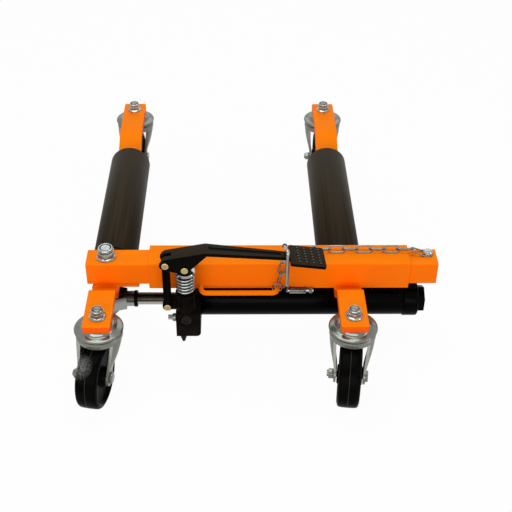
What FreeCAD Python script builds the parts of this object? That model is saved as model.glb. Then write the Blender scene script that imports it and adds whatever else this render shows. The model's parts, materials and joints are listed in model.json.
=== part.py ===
import FreeCAD, Part
import math
import os
import re
import Sketcher

# Hydraulic wheel dolly: two roller arms on castors, drawn together by a foot pumped ram.
# Millimetres, +Z up, origin on the floor under the middle of the footprint,
# +Y from the beam towards the far castors.

doc = FreeCAD.newDocument("positioning_jack")
sheet = doc.addObject("Spreadsheet::Sheet", "Sizes")

SIZES = {
    # where the beam and the two roller arms stand
    "beam_y": -175.7,
    "beam_z": 141.0,
    "left_axle_x": -238.3,
    "roller_spacing": 377.5,
    # telescopic beam
    "outer_tube_size": 50.0,
    "outer_tube_wall": 4.5,
    "tube_corner": 3.0,
    "outer_tube_length": 408.5,
    "outer_tube_setback": 67.0,
    "inner_tube_size": 40.0,
    "inner_tube_wall": 4.0,
    "inner_end_gap": 31.2,
    "inner_tube_overhang": 30.7,
    "stub_reach": 44.6,
    "stub_insert": 45.0,
    "pad_start": 20.0,
    "pad_reach": 50.6,
    # flat bars that carry the castors
    "bar_width": 41.5,
    "bar_thickness": 12.0,
    "bar_tail": 42.0,
    "bar_corner": 3.0,
    "bar_bend": 8.0,
    "front_splay": 2.8,
    "bend_start": 3.0,
    "bend_run": 25.0,
    "bend_lag": 5.0,
    "rear_flat": 26.0,
    "rear_run": 46.0,
    "front_landing": 57.5,
    "rear_landing": 80.7,
    "stud_edge": 24.0,
    # rollers on their shafts
    "roller_length": 309.0,
    "roller_inset": 4.3,
    "roller_radius": 36.0,
    "roller_wall": 4.0,
    "roller_end_gap": 4.0,
    "shaft_radius": 12.5,
    "shaft_slot": 15.0,
    "bush_length": 22.0,
    "bush_lip": 2.0,
    "running_clearance": 0.05,
    "hole_clearance": 0.25,
    # castors
    "wheel_headroom": 0.6,
    "castor_trail": 36.0,
    "front_left_turn": -11.3,
    "front_right_turn": -7.2,
    "rear_left_turn": -3.0,
    "rear_right_turn": -3.0,
    "race_radius": 37.3,
    "race_rim": 3.2,
    "race_dome": 23.0,
    "race_height": 13.6,
    "crown_radius": 35.5,
    "crown_height": 10.5,
    "crown_gap": 0.3,
    "kingpin_radius": 8.0,
    "kingpin_head": 12.0,
    "kingpin_head_height": 4.8,
    "stud_radius": 6.0,
    "stud_rise": 16.0,
    "wheel_radius": 50.0,
    "wheel_width": 34.0,
    "wheel_shoulder": 4.0,
    "wheel_rim": 9.0,
    "wheel_dish": 6.0,
    "hub_radius": 15.0,
    "hub_width": 38.4,
    "fork_gap": 41.0,
    "fork_thickness": 3.5,
    "leg_depth": 18.0,
    "leg_middle": 3.0,
    "leg_foot": 13.0,
    "leg_overlap": 2.0,
    "leg_easing": 1.7,
    "leg_flat": 0.78,
    "fork_eye_radius": 13.0,
    "axle_radius": 5.0,
    "axle_head_flats": 16.0,
    "axle_head_height": 4.0,
    "axle_nut_flats": 14.0,
    "axle_nut_height": 8.0,
    "axle_tail": 2.5,
    "nut_flats": 18.0,
    "nut_height": 11.0,
    "nut_flange_radius": 12.8,
    "nut_flange": 3.0,
    # ram under the beam
    "ram_drop": 65.0,
    "cylinder_radius": 26.6,
    "cylinder_wall": 4.0,
    "cap_setback": 4.1,
    "cap_radius": 28.2,
    "cap_length": 25.0,
    "plug_flats": 39.0,
    "plug_length": 11.0,
    "lug_length": 16.0,
    "lug_width": 26.0,
    "rod_radius": 10.0,
    "piston_length": 26.0,
    "piston_room": 22.0,
    "coupler_radius": 12.5,
    "coupler_reach": 39.0,
    "lock_ring_length": 5.5,
    "lock_ring_radius": 13.5,
    "eye_radius": 20.0,
    "eye_height": 24.0,
    "eye_web": 27.0,
    "anchor_radius": 8.0,
    "anchor_flats": 24.0,
    "anchor_head": 14.5,
    "anchor_flange": 4.0,
    "anchor_flange_radius": 15.5,
    "anchor_nut": 12.0,
    "anchor_tail": 4.0,
    "spacer_radius": 13.0,
    # pump in front of the beam
    "plunger_setback": 58.9,
    "pump_standoff": 25.0,
    "head_radius": 27.6,
    "head_left": 16.5,
    "head_right": 22.0,
    "block_front": 16.0,
    "block_drop": 23.0,
    "block_rise": 22.0,
    "block_corner": 7.0,
    "boss_radius": 16.0,
    "seat_z": 132.0,
    "plunger_radius": 9.0,
    "plunger_depth": 62.0,
    "bore_spare": 8.0,
    "collar_radius": 15.5,
    "collar_height": 5.0,
    "tongue_width": 18.6,
    "tongue_length": 15.0,
    "tongue_rise": 8.0,
    "plunger_pin_z": 182.5,
    "pin_radius": 4.0,
    "pin_head_radius": 5.6,
    "pin_head": 2.0,
    "open_pivot_clearance": 0.5,
    "spring_wire": 1.75,
    "spring_radius": 12.8,
    "spring_turns": 5.5,
    "spring_gap": 0.2,
    "ear_thickness": 10.0,
    "ear_radius": 8.0,
    "ear_z": 107.4,
    "link_offset": 29.0,
    "link_top_rise": 8.5,
    "link_thickness": 4.0,
    "link_gap": 0.3,
    "link_width": 11.0,
    "link_eye_radius": 7.5,
    "drain_height": 16.0,
    "drain_left": 6.0,
    "drain_front": 8.0,
    "drain_radius": 7.0,
    "front_plug_radius": 8.0,
    "front_plug_length": 5.0,
    "front_plug_z": 89.5,
    "valve_z": 79.0,
    "valve_radius": 5.0,
    "valve_collar": 6.5,
    "valve_depth": 6.0,
    "valve_collar_length": 6.0,
    "valve_head": 8.0,
    "valve_head_length": 7.0,
    # pedal
    "pedal_width": 25.4,
    "pedal_wall": 3.0,
    "pedal_left": 37.0,
    "pedal_left_z": 201.0,
    "pedal_bend_x": 31.0,
    "pedal_bend_z": 214.8,
    "pedal_slope": 7.2,
    "pedal_flange": 6.0,
    "pedal_knee": 34.0,
    "pedal_arm_width": 15.0,
    "pedal_notch_width": 8.0,
    "pedal_notch_length": 17.0,
    "pedal_past_hook": 53.1,
    "pedal_lobe_radius": 9.0,
    "pedal_corner": 11.0,
    "groove_width": 8.0,
    "groove_depth": 1.4,
    "groove_start": 36.0,
    "groove_short": 8.9,
    "foot_length": 54.0,
    "foot_width": 47.0,
    "foot_thickness": 5.0,
    "foot_past_hook": 4.6,
    "foot_corner": 3.5,
    "foot_rake": 3.3,
    "stud_dot_radius": 2.2,
    "stud_dot_height": 1.3,
    "stud_dot_columns": 4.0,
    "stud_dot_rows": 6.0,
    "stud_dot_start": 13.0,
    "stud_dot_run": 32.0,
    "stud_dot_margin": 7.0,
    # lock hook over the pedal
    "hook_setback": 96.7,
    "hook_wire": 2.75,
    "hook_drop": 24.0,
    "sleeve_radius": 5.25,
    "sleeve_start": 6.5,
    "sleeve_length": 26.0,
    "hook_tail": 13.0,
    "hook_rise": 105.5,
    "hook_dip": 12.5,
    "hook_front": 39.0,
    "hook_back": 7.5,
    "hook_lean": 3.4,
    "hook_elbow": 43.0,
    "hook_bend": 9.0,
    "hook_ball": 3.6,
    "hook_nut_flats": 8.4,
    "hook_nut_length": 5.0,
    "hook_nut_gap": 5.0,
    # carry handle on the beam
    "handle_wire": 4.0,
    "handle_start": 82.0,
    "handle_short": 12.8,
    "handle_standoff": 20.0,
    "handle_drop": 17.0,
    "handle_bend": 9.0,
    # chain from the end bolt to the handle
    "chain_bolt_reach": 31.0,
    "chain_bolt_radius": 4.0,
    "chain_bolt_head": 7.6,
    "chain_bolt_dome": 5.0,
    "chain_bolt_nut": 6.5,
    "chain_bolt_flats": 13.0,
    "chain_offset": 6.0,
    "chain_wire": 1.2,
    "chain_link_width": 12.6,
    "chain_link_play": 0.8,
    "chain_clear": 5.0,
    "chain_lean": 45.0,
    "chain_untwist": 45.0,
    "chain_hang_lean": 10.0,
    "chain_edge_gap": 5.6,
    "chain_edge_lift": 1.5,
    "chain_edge_shift": 10.0,
    "chain_turn_reach": 46.0,
    "loop_reach": 27.0,
    "loop_half": 6.8,
    "loop_tip": 5.0,
    "ring_radius": 7.2,
    "ring_wire": 1.2,
    "ring_lift": 1.7,
    "ring_inset": 9.0,
}

for row, (alias, value) in enumerate(SIZES.items(), start=1):
    sheet.set(f"A{row}", alias.replace("_", " "))
    sheet.set(f"B{row}", str(value))
    sheet.setAlias(f"B{row}", alias)
doc.recompute()

# Counts, which stay whole numbers
TOP_LINKS = 10
HANGING_LINKS = 2
EASED_LINKS = 2
QUARTER_TURNS = 4
QUARTER = 360 / QUARTER_TURNS
LEG_LEVELS = 6
HEX_SIDES = 6
SQUARE_SIDES = 4

NEAR = 1e-4

Vector = FreeCAD.Vector
nodes = []
used_names = {}


def ref(text):
    """Turn the plain size names in an expression into references to the sheet."""
    return re.sub(r"[a-z][a-z_]*", lambda m: f"Sizes.{m[0]}" if m[0] in SIZES else m[0], str(text))


def number(text):
    """The present value of an expression."""
    return float(sheet.evalExpression(ref(text)))


def point(x, y, z):
    return Vector(number(x), number(y), number(z))


def new(kind, hint):
    """Add a document object under a name that is not in use yet."""
    used_names[hint] = used_names.get(hint, 0) + 1
    return doc.addObject(kind, f"{hint}_{used_names[hint]}")


def bind(obj, **sizes):
    for prop, text in sizes.items():
        obj.setExpression(prop, ref(text))
    return obj


def place(obj, x="0", y="0", z="0", axis=(0, 0, 1), angle="0"):
    """Put an object at a point given by expressions, turned about an axis."""
    where = f"create(<<vector>>; {ref(x)}; {ref(y)}; {ref(z)})"
    about = f"create(<<vector>>; {axis[0]}; {axis[1]}; {axis[2]})"
    turned_by = f"create(<<rotation>>; {about}; {ref(angle)})"
    obj.setExpression("Placement", f"create(<<placement>>; {where}; {turned_by})")
    return obj


ALONG = {"x": ((0, 1, 0), "90"), "y": ((1, 0, 0), "-90"), "z": ((0, 0, 1), "0")}


def box(x, y, z, length, width, height):
    return place(bind(new("Part::Box", "box"), Length=length, Width=width, Height=height), x, y, z)


def rod(radius, length, x, y, z, along="z"):
    axis, angle = ALONG[along]
    return place(bind(new("Part::Cylinder", "rod"), Radius=radius, Height=length), x, y, z, axis, angle)


def hexagon(flats, length, x, y, z, along="z", sides=HEX_SIDES):
    """A prism given by its width across flats."""
    prism = new("Part::Prism", "prism")
    prism.Polygon = sides
    bind(prism, Circumradius=f"({flats}) / 2 / cos(180 / {sides})", Height=length)
    axis, angle = ALONG[along]
    return place(prism, x, y, z, axis, angle)


def fuse(*shapes):
    joined = new("Part::MultiFuse", "joined")
    joined.Shapes = list(shapes)
    joined.Refine = True
    return joined


def cut(base, *tools):
    for tool in tools:
        trimmed = new("Part::Cut", "trimmed")
        trimmed.Base = base
        trimmed.Tool = tool
        base = trimmed
    return base


def group(*shapes):
    """Separate solids that share one node."""
    together = new("Part::Compound", "group")
    together.Links = list(shapes)
    return together


def outline(body, plane, corners):
    """A closed sketch whose corners are each held by two bound distances."""
    sketch = body.newObject("Sketcher::SketchObject", "outline")
    face = next(f for f in body.Origin.OriginFeatures if f.Role == plane)
    sketch.AttachmentSupport = [(face, "")]
    sketch.MapMode = "FlatFace"
    spots = [point(across, up, "0") for across, up in corners]
    for start, end in zip(spots, spots[1:] + spots[:1]):
        sketch.addGeometry(Part.LineSegment(start, end), False)
    for line in range(len(spots)):
        following = (line + 1) % len(spots)
        sketch.addConstraint(Sketcher.Constraint("Coincident", line, 2, following, 1))
    for line, (spot, corner) in enumerate(zip(spots, corners)):
        for kind, value, text in zip(("DistanceX", "DistanceY"), (spot.x, spot.y), corner):
            index = sketch.addConstraint(Sketcher.Constraint(kind, -1, 1, line, 1, value))
            sketch.setExpression(f"Constraints[{index}]", ref(text))
    return sketch


def turned(profile, x="0", y="0", z="0", along="z"):
    """A lathe-turned piece from a half profile of (radius, height) corners."""
    body = new("PartDesign::Body", "turned")
    sketch = outline(body, "XZ_Plane", profile)
    spin = body.newObject("PartDesign::Revolution", "spin")
    spin.Profile = sketch
    spin.ReferenceAxis = (sketch, ["V_Axis"])
    axis, angle = ALONG[along]
    return place(body, x, y, z, axis, angle)


def plate(plane, corners, thickness, x="0", y="0", z="0"):
    """A plate of even thickness with a straight-sided outline."""
    body = new("PartDesign::Body", "plate")
    sketch = outline(body, plane, corners)
    pad = body.newObject("PartDesign::Pad", "thickness")
    pad.Profile = sketch
    bind(pad, Length=thickness)
    return place(body, x, y, z)


def soften(base, radius, wanted):
    """Round the edges of a shape for which wanted(edge) holds."""
    doc.recompute()
    rounded = new("Part::Fillet", "rounded")
    rounded.Base = base
    r = number(radius)
    chosen = [i for i, edge in enumerate(base.Shape.Edges, start=1) if wanted(edge)]
    rounded.Edges = [(i, r, r) for i in chosen]
    return rounded


def upright(edge):
    """True for a straight edge along Z."""
    ends = [v.Point for v in edge.Vertexes]
    return len(ends) == 2 and abs(ends[0].z - ends[1].z) > 0.99 * edge.Length


def lengthwise(edge):
    """True for a straight edge along X."""
    return edge.BoundBox.YLength < NEAR and edge.BoundBox.ZLength < NEAR


def bent_path(points, radius, closed=False):
    """Straight runs joined by tangent arcs, as a wire is bent on a former."""
    count = len(points)
    corners = range(count) if closed else range(1, count - 1)
    entry, leave, middle = {}, {}, {}
    for i in corners:
        back = (points[i - 1] - points[i]).normalize()
        ahead = (points[(i + 1) % count] - points[i]).normalize()
        half = back.getAngle(ahead) / 2
        reach = radius / math.tan(half)
        inward = (back + ahead).normalize()
        entry[i] = points[i] + back * reach
        leave[i] = points[i] + ahead * reach
        middle[i] = points[i] + inward * (radius / math.sin(half) - radius)
    edges = []
    for i in range(count if closed else count - 1):
        after = (i + 1) % count
        start = leave.get(i, points[i])
        end = entry.get(after, points[after])
        edges.append(Part.LineSegment(start, end).toShape())
        if after in middle:
            edges.append(Part.Arc(entry[after], middle[after], leave[after]).toShape())
    return Part.Wire(edges)


def wire_solid(path, radius):
    """A round wire along a path, with flat ends where the path is open."""
    first = path.OrderedEdges[0]
    begin = first.valueAt(first.FirstParameter)
    section = Part.Wire(Part.makeCircle(radius, begin, first.tangentAt(first.FirstParameter)))
    shell = Part.BRepOffsetAPI.MakePipeShell(path)
    shell.add(section)
    shell.build()
    shell.makeSolid()
    return shell.shape()


def shaped(shape, hint):
    """A document object for a shape made with Part's own functions."""
    feature = new("Part::Feature", hint)
    feature.Shape = shape
    return feature


def name(obj, label):
    """Give a finished piece its own name and list it for export."""
    obj.Label = label
    nodes.append(obj)
    return obj


# Places that several pieces share
RIGHT_X = "(left_axle_x + roller_spacing)"
OUTER_LEFT = "(left_axle_x + outer_tube_setback)"
OUTER_RIGHT = f"({OUTER_LEFT} + outer_tube_length)"
TUBE_FRONT = "(beam_y - outer_tube_size / 2)"
TUBE_TOP = "(beam_z + outer_tube_size / 2)"
INNER_TOP = "(beam_z + inner_tube_size / 2)"
INNER_BOTTOM = "(beam_z - inner_tube_size / 2)"
BAR_TOP = "(beam_z - outer_tube_size / 2)"
BAR_BOTTOM = f"({BAR_TOP} - bar_thickness)"
ROLLER_Z = f"({BAR_TOP} - bar_thickness / 2)"
CROWN_BOTTOM = "(2 * wheel_radius + wheel_headroom)"
CROWN_TOP = f"({CROWN_BOTTOM} + crown_height)"
RACE_LOW = f"({CROWN_TOP} + crown_gap)"
CASTOR_TOP = f"({RACE_LOW} + race_height)"
PLATE_TOP = f"({CASTOR_TOP} + bar_thickness)"
ROLLER_START = "(beam_y + bar_tail + roller_end_gap)"
ROLLER_END = f"({ROLLER_START} + roller_length)"
REAR_BAR = f"({ROLLER_END} + roller_end_gap)"
FRONT_BEND = f"({TUBE_FRONT} - bend_start)"
FRONT_STUD = f"({FRONT_BEND} - bend_run - bend_lag - front_landing)"
REAR_BEND = f"({REAR_BAR} + rear_flat)"
REAR_STUD = f"({REAR_BEND} + bend_lag + rear_run + rear_landing)"
RAM_Z = "(beam_z - ram_drop)"
PLUNGER_X = f"({OUTER_LEFT} + plunger_setback)"
PUMP_Y = f"({TUBE_FRONT} - pump_standoff)"
HEAD_LEFT = f"({PLUNGER_X} - head_left)"
HEAD_RIGHT = f"({PLUNGER_X} + head_right)"
CAP_LEFT = f"({OUTER_RIGHT} - cap_setback)"
LINK_X = f"({PLUNGER_X} - link_offset)"
LINK_TOP_Z = "(plunger_pin_z + link_top_rise)"
HOOK_X = f"({RIGHT_X} - hook_setback)"
HOOK_REACH = f"({HOOK_X} - {PLUNGER_X})"
SIDES = {"left": "left_axle_x", "right": RIGHT_X}
FRONT_X = {"left": "(left_axle_x - front_splay)", "right": f"({RIGHT_X} + front_splay)"}
ROLLER_X = {"left": "(left_axle_x + roller_inset)", "right": f"({RIGHT_X} - roller_inset)"}


# Telescopic beam
def square_tube(start, length, size, wall):
    """A square tube along X on the beam's axis."""
    def bar(extent, reach):
        low = f"beam_y - ({extent}) / 2"
        return box(start, low, f"beam_z - ({extent}) / 2", reach, extent, extent)
    tube = cut(bar(size, length), bar(f"{size} - 2 * {wall}", length))
    reach = number(f"{size} / 2") - NEAR
    middle = number("beam_y")
    return soften(tube, "tube_corner", lambda e: lengthwise(e) and abs(e.CenterOfMass.y - middle) > reach)


def anchor_hole():
    """The drilling that the ram's anchor bolt passes through."""
    tall = f"{INNER_TOP} - {RAM_Z} + eye_height"
    return rod("anchor_radius + hole_clearance", tall, "left_axle_x", "beam_y", f"{RAM_Z} - eye_height")


outer = square_tube(OUTER_LEFT, "outer_tube_length", "outer_tube_size", "outer_tube_wall")
name(outer, "outer_tube")

INNER_LEFT = "(left_axle_x - inner_tube_overhang)"
inner = square_tube(INNER_LEFT, f"{OUTER_RIGHT} - stub_insert - inner_end_gap - {INNER_LEFT}",
                    "inner_tube_size", "inner_tube_wall")
name(cut(inner, anchor_hole()), "inner_tube")

pad_height = "(outer_tube_size - inner_tube_size) / 2"
pad = box("left_axle_x - pad_start", "beam_y - inner_tube_size / 2", BAR_TOP,
          "pad_start + pad_reach", "inner_tube_size", pad_height)
name(cut(pad, anchor_hole()), "pad_plate")

CHAIN_BOLT_X = f"({OUTER_RIGHT} + chain_bolt_reach)"
CHAIN_Y = "(beam_y + chain_offset)"
stub = square_tube(f"{OUTER_RIGHT} - stub_insert", "stub_insert + stub_reach",
                   "inner_tube_size", "inner_tube_wall")
stub_hole = rod("chain_bolt_radius + hole_clearance", "inner_tube_size",
                CHAIN_BOLT_X, CHAIN_Y, INNER_BOTTOM)
name(cut(stub, stub_hole), "end_stub")


# Bent flat bars in front of and behind the rollers
def stud_hole(x, y):
    return rod("stud_radius + hole_clearance", "bar_thickness", x, y, CASTOR_TOP)


def bent_bar(corners, x, joined, free):
    """Flat bar of a bent outline, with rounded bends and rounded corners at its free end."""
    bar = plate("YZ_Plane", corners, "bar_width", f"{x} - bar_width / 2")
    ends = [number(joined), number(free)]
    bar = soften(bar, "bar_bend", lambda e: lengthwise(e)
                 and min(abs(e.CenterOfMass.y - end) for end in ends) > NEAR)
    return soften(bar, "bar_corner", lambda e: upright(e) and abs(e.CenterOfMass.y - ends[1]) < NEAR)


def front_arm(side):
    """Flat bar under the beam, cranked up to the front castor."""
    x = FRONT_X[side]
    bend = FRONT_BEND
    end = f"({FRONT_STUD} - stud_edge)"
    corners = [
        ("beam_y + bar_tail", BAR_TOP),
        (bend, BAR_TOP),
        (f"{bend} - bend_run", PLATE_TOP),
        (end, PLATE_TOP),
        (end, CASTOR_TOP),
        (f"{bend} - bend_run - bend_lag", CASTOR_TOP),
        (f"{bend} - bend_lag", BAR_BOTTOM),
        ("beam_y + bar_tail", BAR_BOTTOM),
    ]
    bar = bent_bar(corners, x, "beam_y + bar_tail", end)
    drilled = cut(bar, stud_hole(x, FRONT_STUD))
    return cut(drilled, anchor_hole()) if side == "left" else drilled


def rear_arm(side):
    """Flat bar from the roller shaft's end, cranked up to the rear castor."""
    x = SIDES[side]
    bend = REAR_BEND
    end = f"({REAR_STUD} + stud_edge)"
    corners = [
        (REAR_BAR, BAR_BOTTOM),
        (f"{bend} + bend_lag", BAR_BOTTOM),
        (f"{bend} + bend_lag + rear_run", CASTOR_TOP),
        (end, CASTOR_TOP),
        (end, PLATE_TOP),
        (f"{bend} + rear_run", PLATE_TOP),
        (bend, BAR_TOP),
        (REAR_BAR, BAR_TOP),
    ]
    bar = bent_bar(corners, x, REAR_BAR, end)
    return cut(bar, stud_hole(x, REAR_STUD))


def roller_shaft(side):
    """Round shaft with a slot in each end for the flat bars."""
    x = ROLLER_X[side]
    begin = "(beam_y + bar_tail - shaft_slot)"
    finish = f"({REAR_BAR} + shaft_slot)"
    shaft = rod("shaft_radius", f"{finish} - {begin}", x, begin, ROLLER_Z, "y")
    slots = [box(f"{x} - bar_width / 2", y, BAR_BOTTOM, "bar_width", "shaft_slot", "bar_thickness")
             for y in (begin, REAR_BAR)]
    return cut(shaft, *slots)


def roller(side):
    """Plain steel tube."""
    x = ROLLER_X[side]
    skin = rod("roller_radius", "roller_length", x, ROLLER_START, ROLLER_Z, "y")
    bore = rod("roller_radius - roller_wall", "roller_length", x, ROLLER_START, ROLLER_Z, "y")
    return cut(skin, bore)


def roller_bushes(side):
    """Two flanged bushes, one in each end of the roller."""
    body = "(roller_radius - roller_wall - running_clearance)"
    lip = "(roller_radius - roller_wall / 2)"
    bore = "(shaft_radius + running_clearance)"
    profile = [(bore, "0 - bush_lip"), (lip, "0 - bush_lip"), (lip, "0"), (body, "0"),
               (body, "bush_length"), (bore, "bush_length")]
    back = [(radius, f"0 - ({height})") for radius, height in profile]
    near = turned(profile, ROLLER_X[side], ROLLER_START, ROLLER_Z, "y")
    far = turned(back, ROLLER_X[side], ROLLER_END, ROLLER_Z, "y")
    return group(near, far)


for side in SIDES:
    name(front_arm(side), f"{side}_front_arm")
    name(rear_arm(side), f"{side}_rear_arm")
    name(roller_shaft(side), f"{side}_roller_shaft")
    name(roller(side), f"{side}_roller")
    name(roller_bushes(side), f"{side}_roller_bushes")


# Castors
def castor_race():
    """Upper race with its threaded stud above and riveted kingpin below."""
    low = RACE_LOW
    head = f"({CROWN_BOTTOM} - crown_gap)"
    return turned([
        ("0", f"{head} - kingpin_head_height"),
        ("kingpin_head", f"{head} - kingpin_head_height"),
        ("kingpin_head", head),
        ("kingpin_radius", head),
        ("kingpin_radius", low),
        ("race_radius - race_rim", low),
        ("race_radius", f"{low} + race_rim / 2"),
        ("race_radius", f"{low} + race_rim * 1.5"),
        ("race_radius - race_rim", f"{low} + race_rim * 2.2"),
        ("race_dome + race_rim", f"{low} + race_rim * 2.8"),
        ("race_dome", CASTOR_TOP),
        ("stud_radius", CASTOR_TOP),
        ("stud_radius", f"{PLATE_TOP} + stud_rise"),
        ("0", f"{PLATE_TOP} + stud_rise"),
    ])


def leg_outline(share, hand, edge_gap):
    """Three spots across a fork leg, from the crown (share 0) down to the axle (share 1)."""
    flat = number(f"fork_gap / 2 + {edge_gap}")
    bend = number(f"crown_radius - race_rim / 4 - fork_thickness + {edge_gap}")
    crown_z = number(f"{CROWN_BOTTOM} + leg_overlap")
    z = crown_z + (number("wheel_radius") - crown_z) * share
    hold = max(0, 1 - (share / number("leg_flat")) ** number("leg_easing"))
    spots = []
    for step in (-1, 0, 1):
        crown_y = number("leg_depth") * step - number("leg_middle")
        foot_y = number("leg_foot") * step - number("castor_trail")
        bulge = math.sqrt(bend ** 2 - crown_y ** 2) - flat
        spots.append(Vector(hand * (flat + bulge * hold), crown_y + (foot_y - crown_y) * share, z))
    return spots


def curve_through(spots):
    curve = Part.BSplineCurve()
    curve.interpolate(spots)
    return curve.toShape()


def fork_leg(hand):
    """Leg pressed from the round crown to a flat foot at the axle."""
    rings = []
    for level in range(LEG_LEVELS):
        share = level / (LEG_LEVELS - 1)
        inside = leg_outline(share, hand, "0")
        outside = leg_outline(share, hand, "fork_thickness")
        rings.append(Part.Wire([
            curve_through(inside),
            Part.LineSegment(inside[-1], outside[-1]).toShape(),
            curve_through(outside[::-1]),
            Part.LineSegment(outside[0], inside[0]).toShape(),
        ]))
    return shaped(Part.makeLoft(rings, True, False), "leg")


def castor_fork():
    """Lower race and two pressed legs that carry the axle behind the kingpin."""
    bore = "(kingpin_radius + running_clearance)"
    crown = turned([
        (bore, CROWN_BOTTOM),
        ("crown_radius - race_rim / 2", CROWN_BOTTOM),
        ("crown_radius", f"{CROWN_BOTTOM} + race_rim / 2"),
        ("crown_radius", f"{CROWN_TOP} - race_rim"),
        ("crown_radius - race_rim", CROWN_TOP),
        (bore, CROWN_TOP),
    ])
    pieces = [crown]
    for hand, near in ((1, "fork_gap / 2"), (-1, "0 - fork_gap / 2 - fork_thickness")):
        pieces.append(fork_leg(hand))
        pieces.append(rod("fork_eye_radius", "fork_thickness", near, "0 - castor_trail", "wheel_radius", "x"))
    axle_hole = rod("axle_radius + running_clearance", "fork_gap + 4 * fork_thickness",
                    "0 - fork_gap / 2 - 2 * fork_thickness", "0 - castor_trail", "wheel_radius", "x")
    return cut(fuse(*pieces), axle_hole)


def castor_axle():
    """Bolt across the fork with its nut on the far leg."""
    outside = "(fork_gap / 2 + fork_thickness)"
    where = ("0 - castor_trail", "wheel_radius", "x")
    nut_start = f"0 - {outside} - axle_nut_height"
    shank = rod("axle_radius", f"2 * {outside} + axle_nut_height + axle_tail",
                f"{nut_start} - axle_tail", *where)
    head = hexagon("axle_head_flats", "axle_head_height", outside, *where)
    nut = hexagon("axle_nut_flats", "axle_nut_height", nut_start, *where)
    thread = rod("axle_radius", "axle_nut_height", nut_start, *where)
    return group(fuse(shank, head), cut(nut, thread))


def castor_wheel():
    """Solid tyred wheel with dished sides."""
    half = "(wheel_width / 2)"
    hub = "(hub_width / 2)"
    inside = "(wheel_radius - wheel_rim)"
    web = f"({half} - wheel_dish)"
    bore = "(axle_radius + running_clearance)"
    right = [(bore, hub), ("hub_radius", hub), ("hub_radius + wheel_dish / 2", web),
             (f"{inside} - wheel_dish / 2", web), (inside, half),
             ("wheel_radius - wheel_shoulder", half), ("wheel_radius", f"{half} - wheel_shoulder")]
    left = [(radius, f"0 - {height}") for radius, height in reversed(right)]
    left[0] = ("wheel_radius", f"wheel_shoulder - {half}")
    return turned(right + left, "0 - 0", "0 - castor_trail", "wheel_radius", "x")


def flange_nut(x, y):
    """Flanged hexagon nut on a castor stud."""
    top = f"({PLATE_TOP} + nut_flange)"
    skirt = turned([("0", "0"), ("nut_flange_radius", "0"), ("nut_flange_radius", "nut_flange / 2"),
                    ("nut_flats / 2", "nut_flange * 1.4"), ("0", "nut_flange * 1.4")], x, y, PLATE_TOP)
    prism = hexagon("nut_flats", "nut_height - nut_flange", x, y, top)
    thread = rod("stud_radius + running_clearance", "nut_height", x, y, PLATE_TOP)
    return cut(fuse(skirt, prism), thread)


ENDS = {"front": (FRONT_X, FRONT_STUD), "rear": (SIDES, REAR_STUD)}
for side in SIDES:
    for end, (across, y) in ENDS.items():
        corner = f"{end}_{side}"
        turn = f"{end}_{side}_turn"
        for make, piece in ((castor_race, "race"), (castor_fork, "fork"), (castor_axle, "axle")):
            name(place(make(), across[side], y, "0", angle=turn), f"{corner}_{piece}")
        wheel = group(castor_wheel())
        name(place(wheel, across[side], y, "0", angle=turn), f"{corner}_wheel")
    nuts = [flange_nut(across[side], y) for across, y in ENDS.values()]
    name(group(*nuts), f"{side}_castor_nuts")


# Ram under the beam
def ram_tube():
    where = (HEAD_RIGHT, "beam_y", RAM_Z, "x")
    length = f"{CAP_LEFT} - {HEAD_RIGHT}"
    return cut(rod("cylinder_radius", length, *where),
               rod("cylinder_radius - cylinder_wall", length, *where))


def ram_cap():
    lip = "cylinder_wall / 2"
    return turned([("0", "0"), (f"cap_radius - {lip}", "0"), ("cap_radius", lip),
                   ("cap_radius", f"cap_length - {lip}"), (f"cap_radius - {lip}", "cap_length"),
                   ("0", "cap_length")], CAP_LEFT, "beam_y", RAM_Z, "x")


def ram_lug():
    """Saddle block between the cylinder's cap and the end stub."""
    block = box(OUTER_RIGHT, "beam_y - lug_width / 2", RAM_Z, "lug_length", "lug_width",
                f"{INNER_BOTTOM} - {RAM_Z}")
    return cut(block, rod("cap_radius", "cap_length + lug_length", CAP_LEFT, "beam_y", RAM_Z, "x"))


name(ram_tube(), "ram_cylinder")
name(ram_cap(), "ram_end_cap")
name(hexagon("plug_flats", "plug_length", f"{CAP_LEFT} + cap_length", "beam_y", RAM_Z, "x"), "ram_end_plug")
name(ram_lug(), "ram_lug")

COUPLER_END = "(left_axle_x + coupler_reach)"
PISTON_END = f"({CAP_LEFT} - piston_room)"
name(rod("rod_radius", f"{PISTON_END} - piston_length - {COUPLER_END}", COUPLER_END, "beam_y", RAM_Z, "x"),
     "ram_rod")
name(rod("cylinder_radius - cylinder_wall - running_clearance", "piston_length",
         f"{PISTON_END} - piston_length", "beam_y", RAM_Z, "x"), "ram_piston")
ring_place = (COUPLER_END, "beam_y", RAM_Z, "x")
name(cut(rod("lock_ring_radius", "lock_ring_length", *ring_place),
         rod("rod_radius + running_clearance", "lock_ring_length", *ring_place)), "rod_lock_ring")


def rod_end():
    """Flat eye for the anchor bolt, flowing into a round coupler."""
    low = f"({RAM_Z} - eye_height / 2)"
    eye = rod("eye_radius", "eye_height", "left_axle_x", "beam_y", low)
    web = plate("XY_Plane", [("0", "eye_radius"), ("0", "0 - eye_radius"),
                             ("eye_web", "0 - coupler_radius"), ("eye_web", "coupler_radius")],
                "eye_height", "left_axle_x", "beam_y", low)
    coupler = rod("coupler_radius", "coupler_reach - eye_radius * 0.8", "left_axle_x + eye_radius * 0.8",
                  "beam_y", RAM_Z, "x")
    return cut(fuse(eye, web, coupler), anchor_hole())


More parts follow.
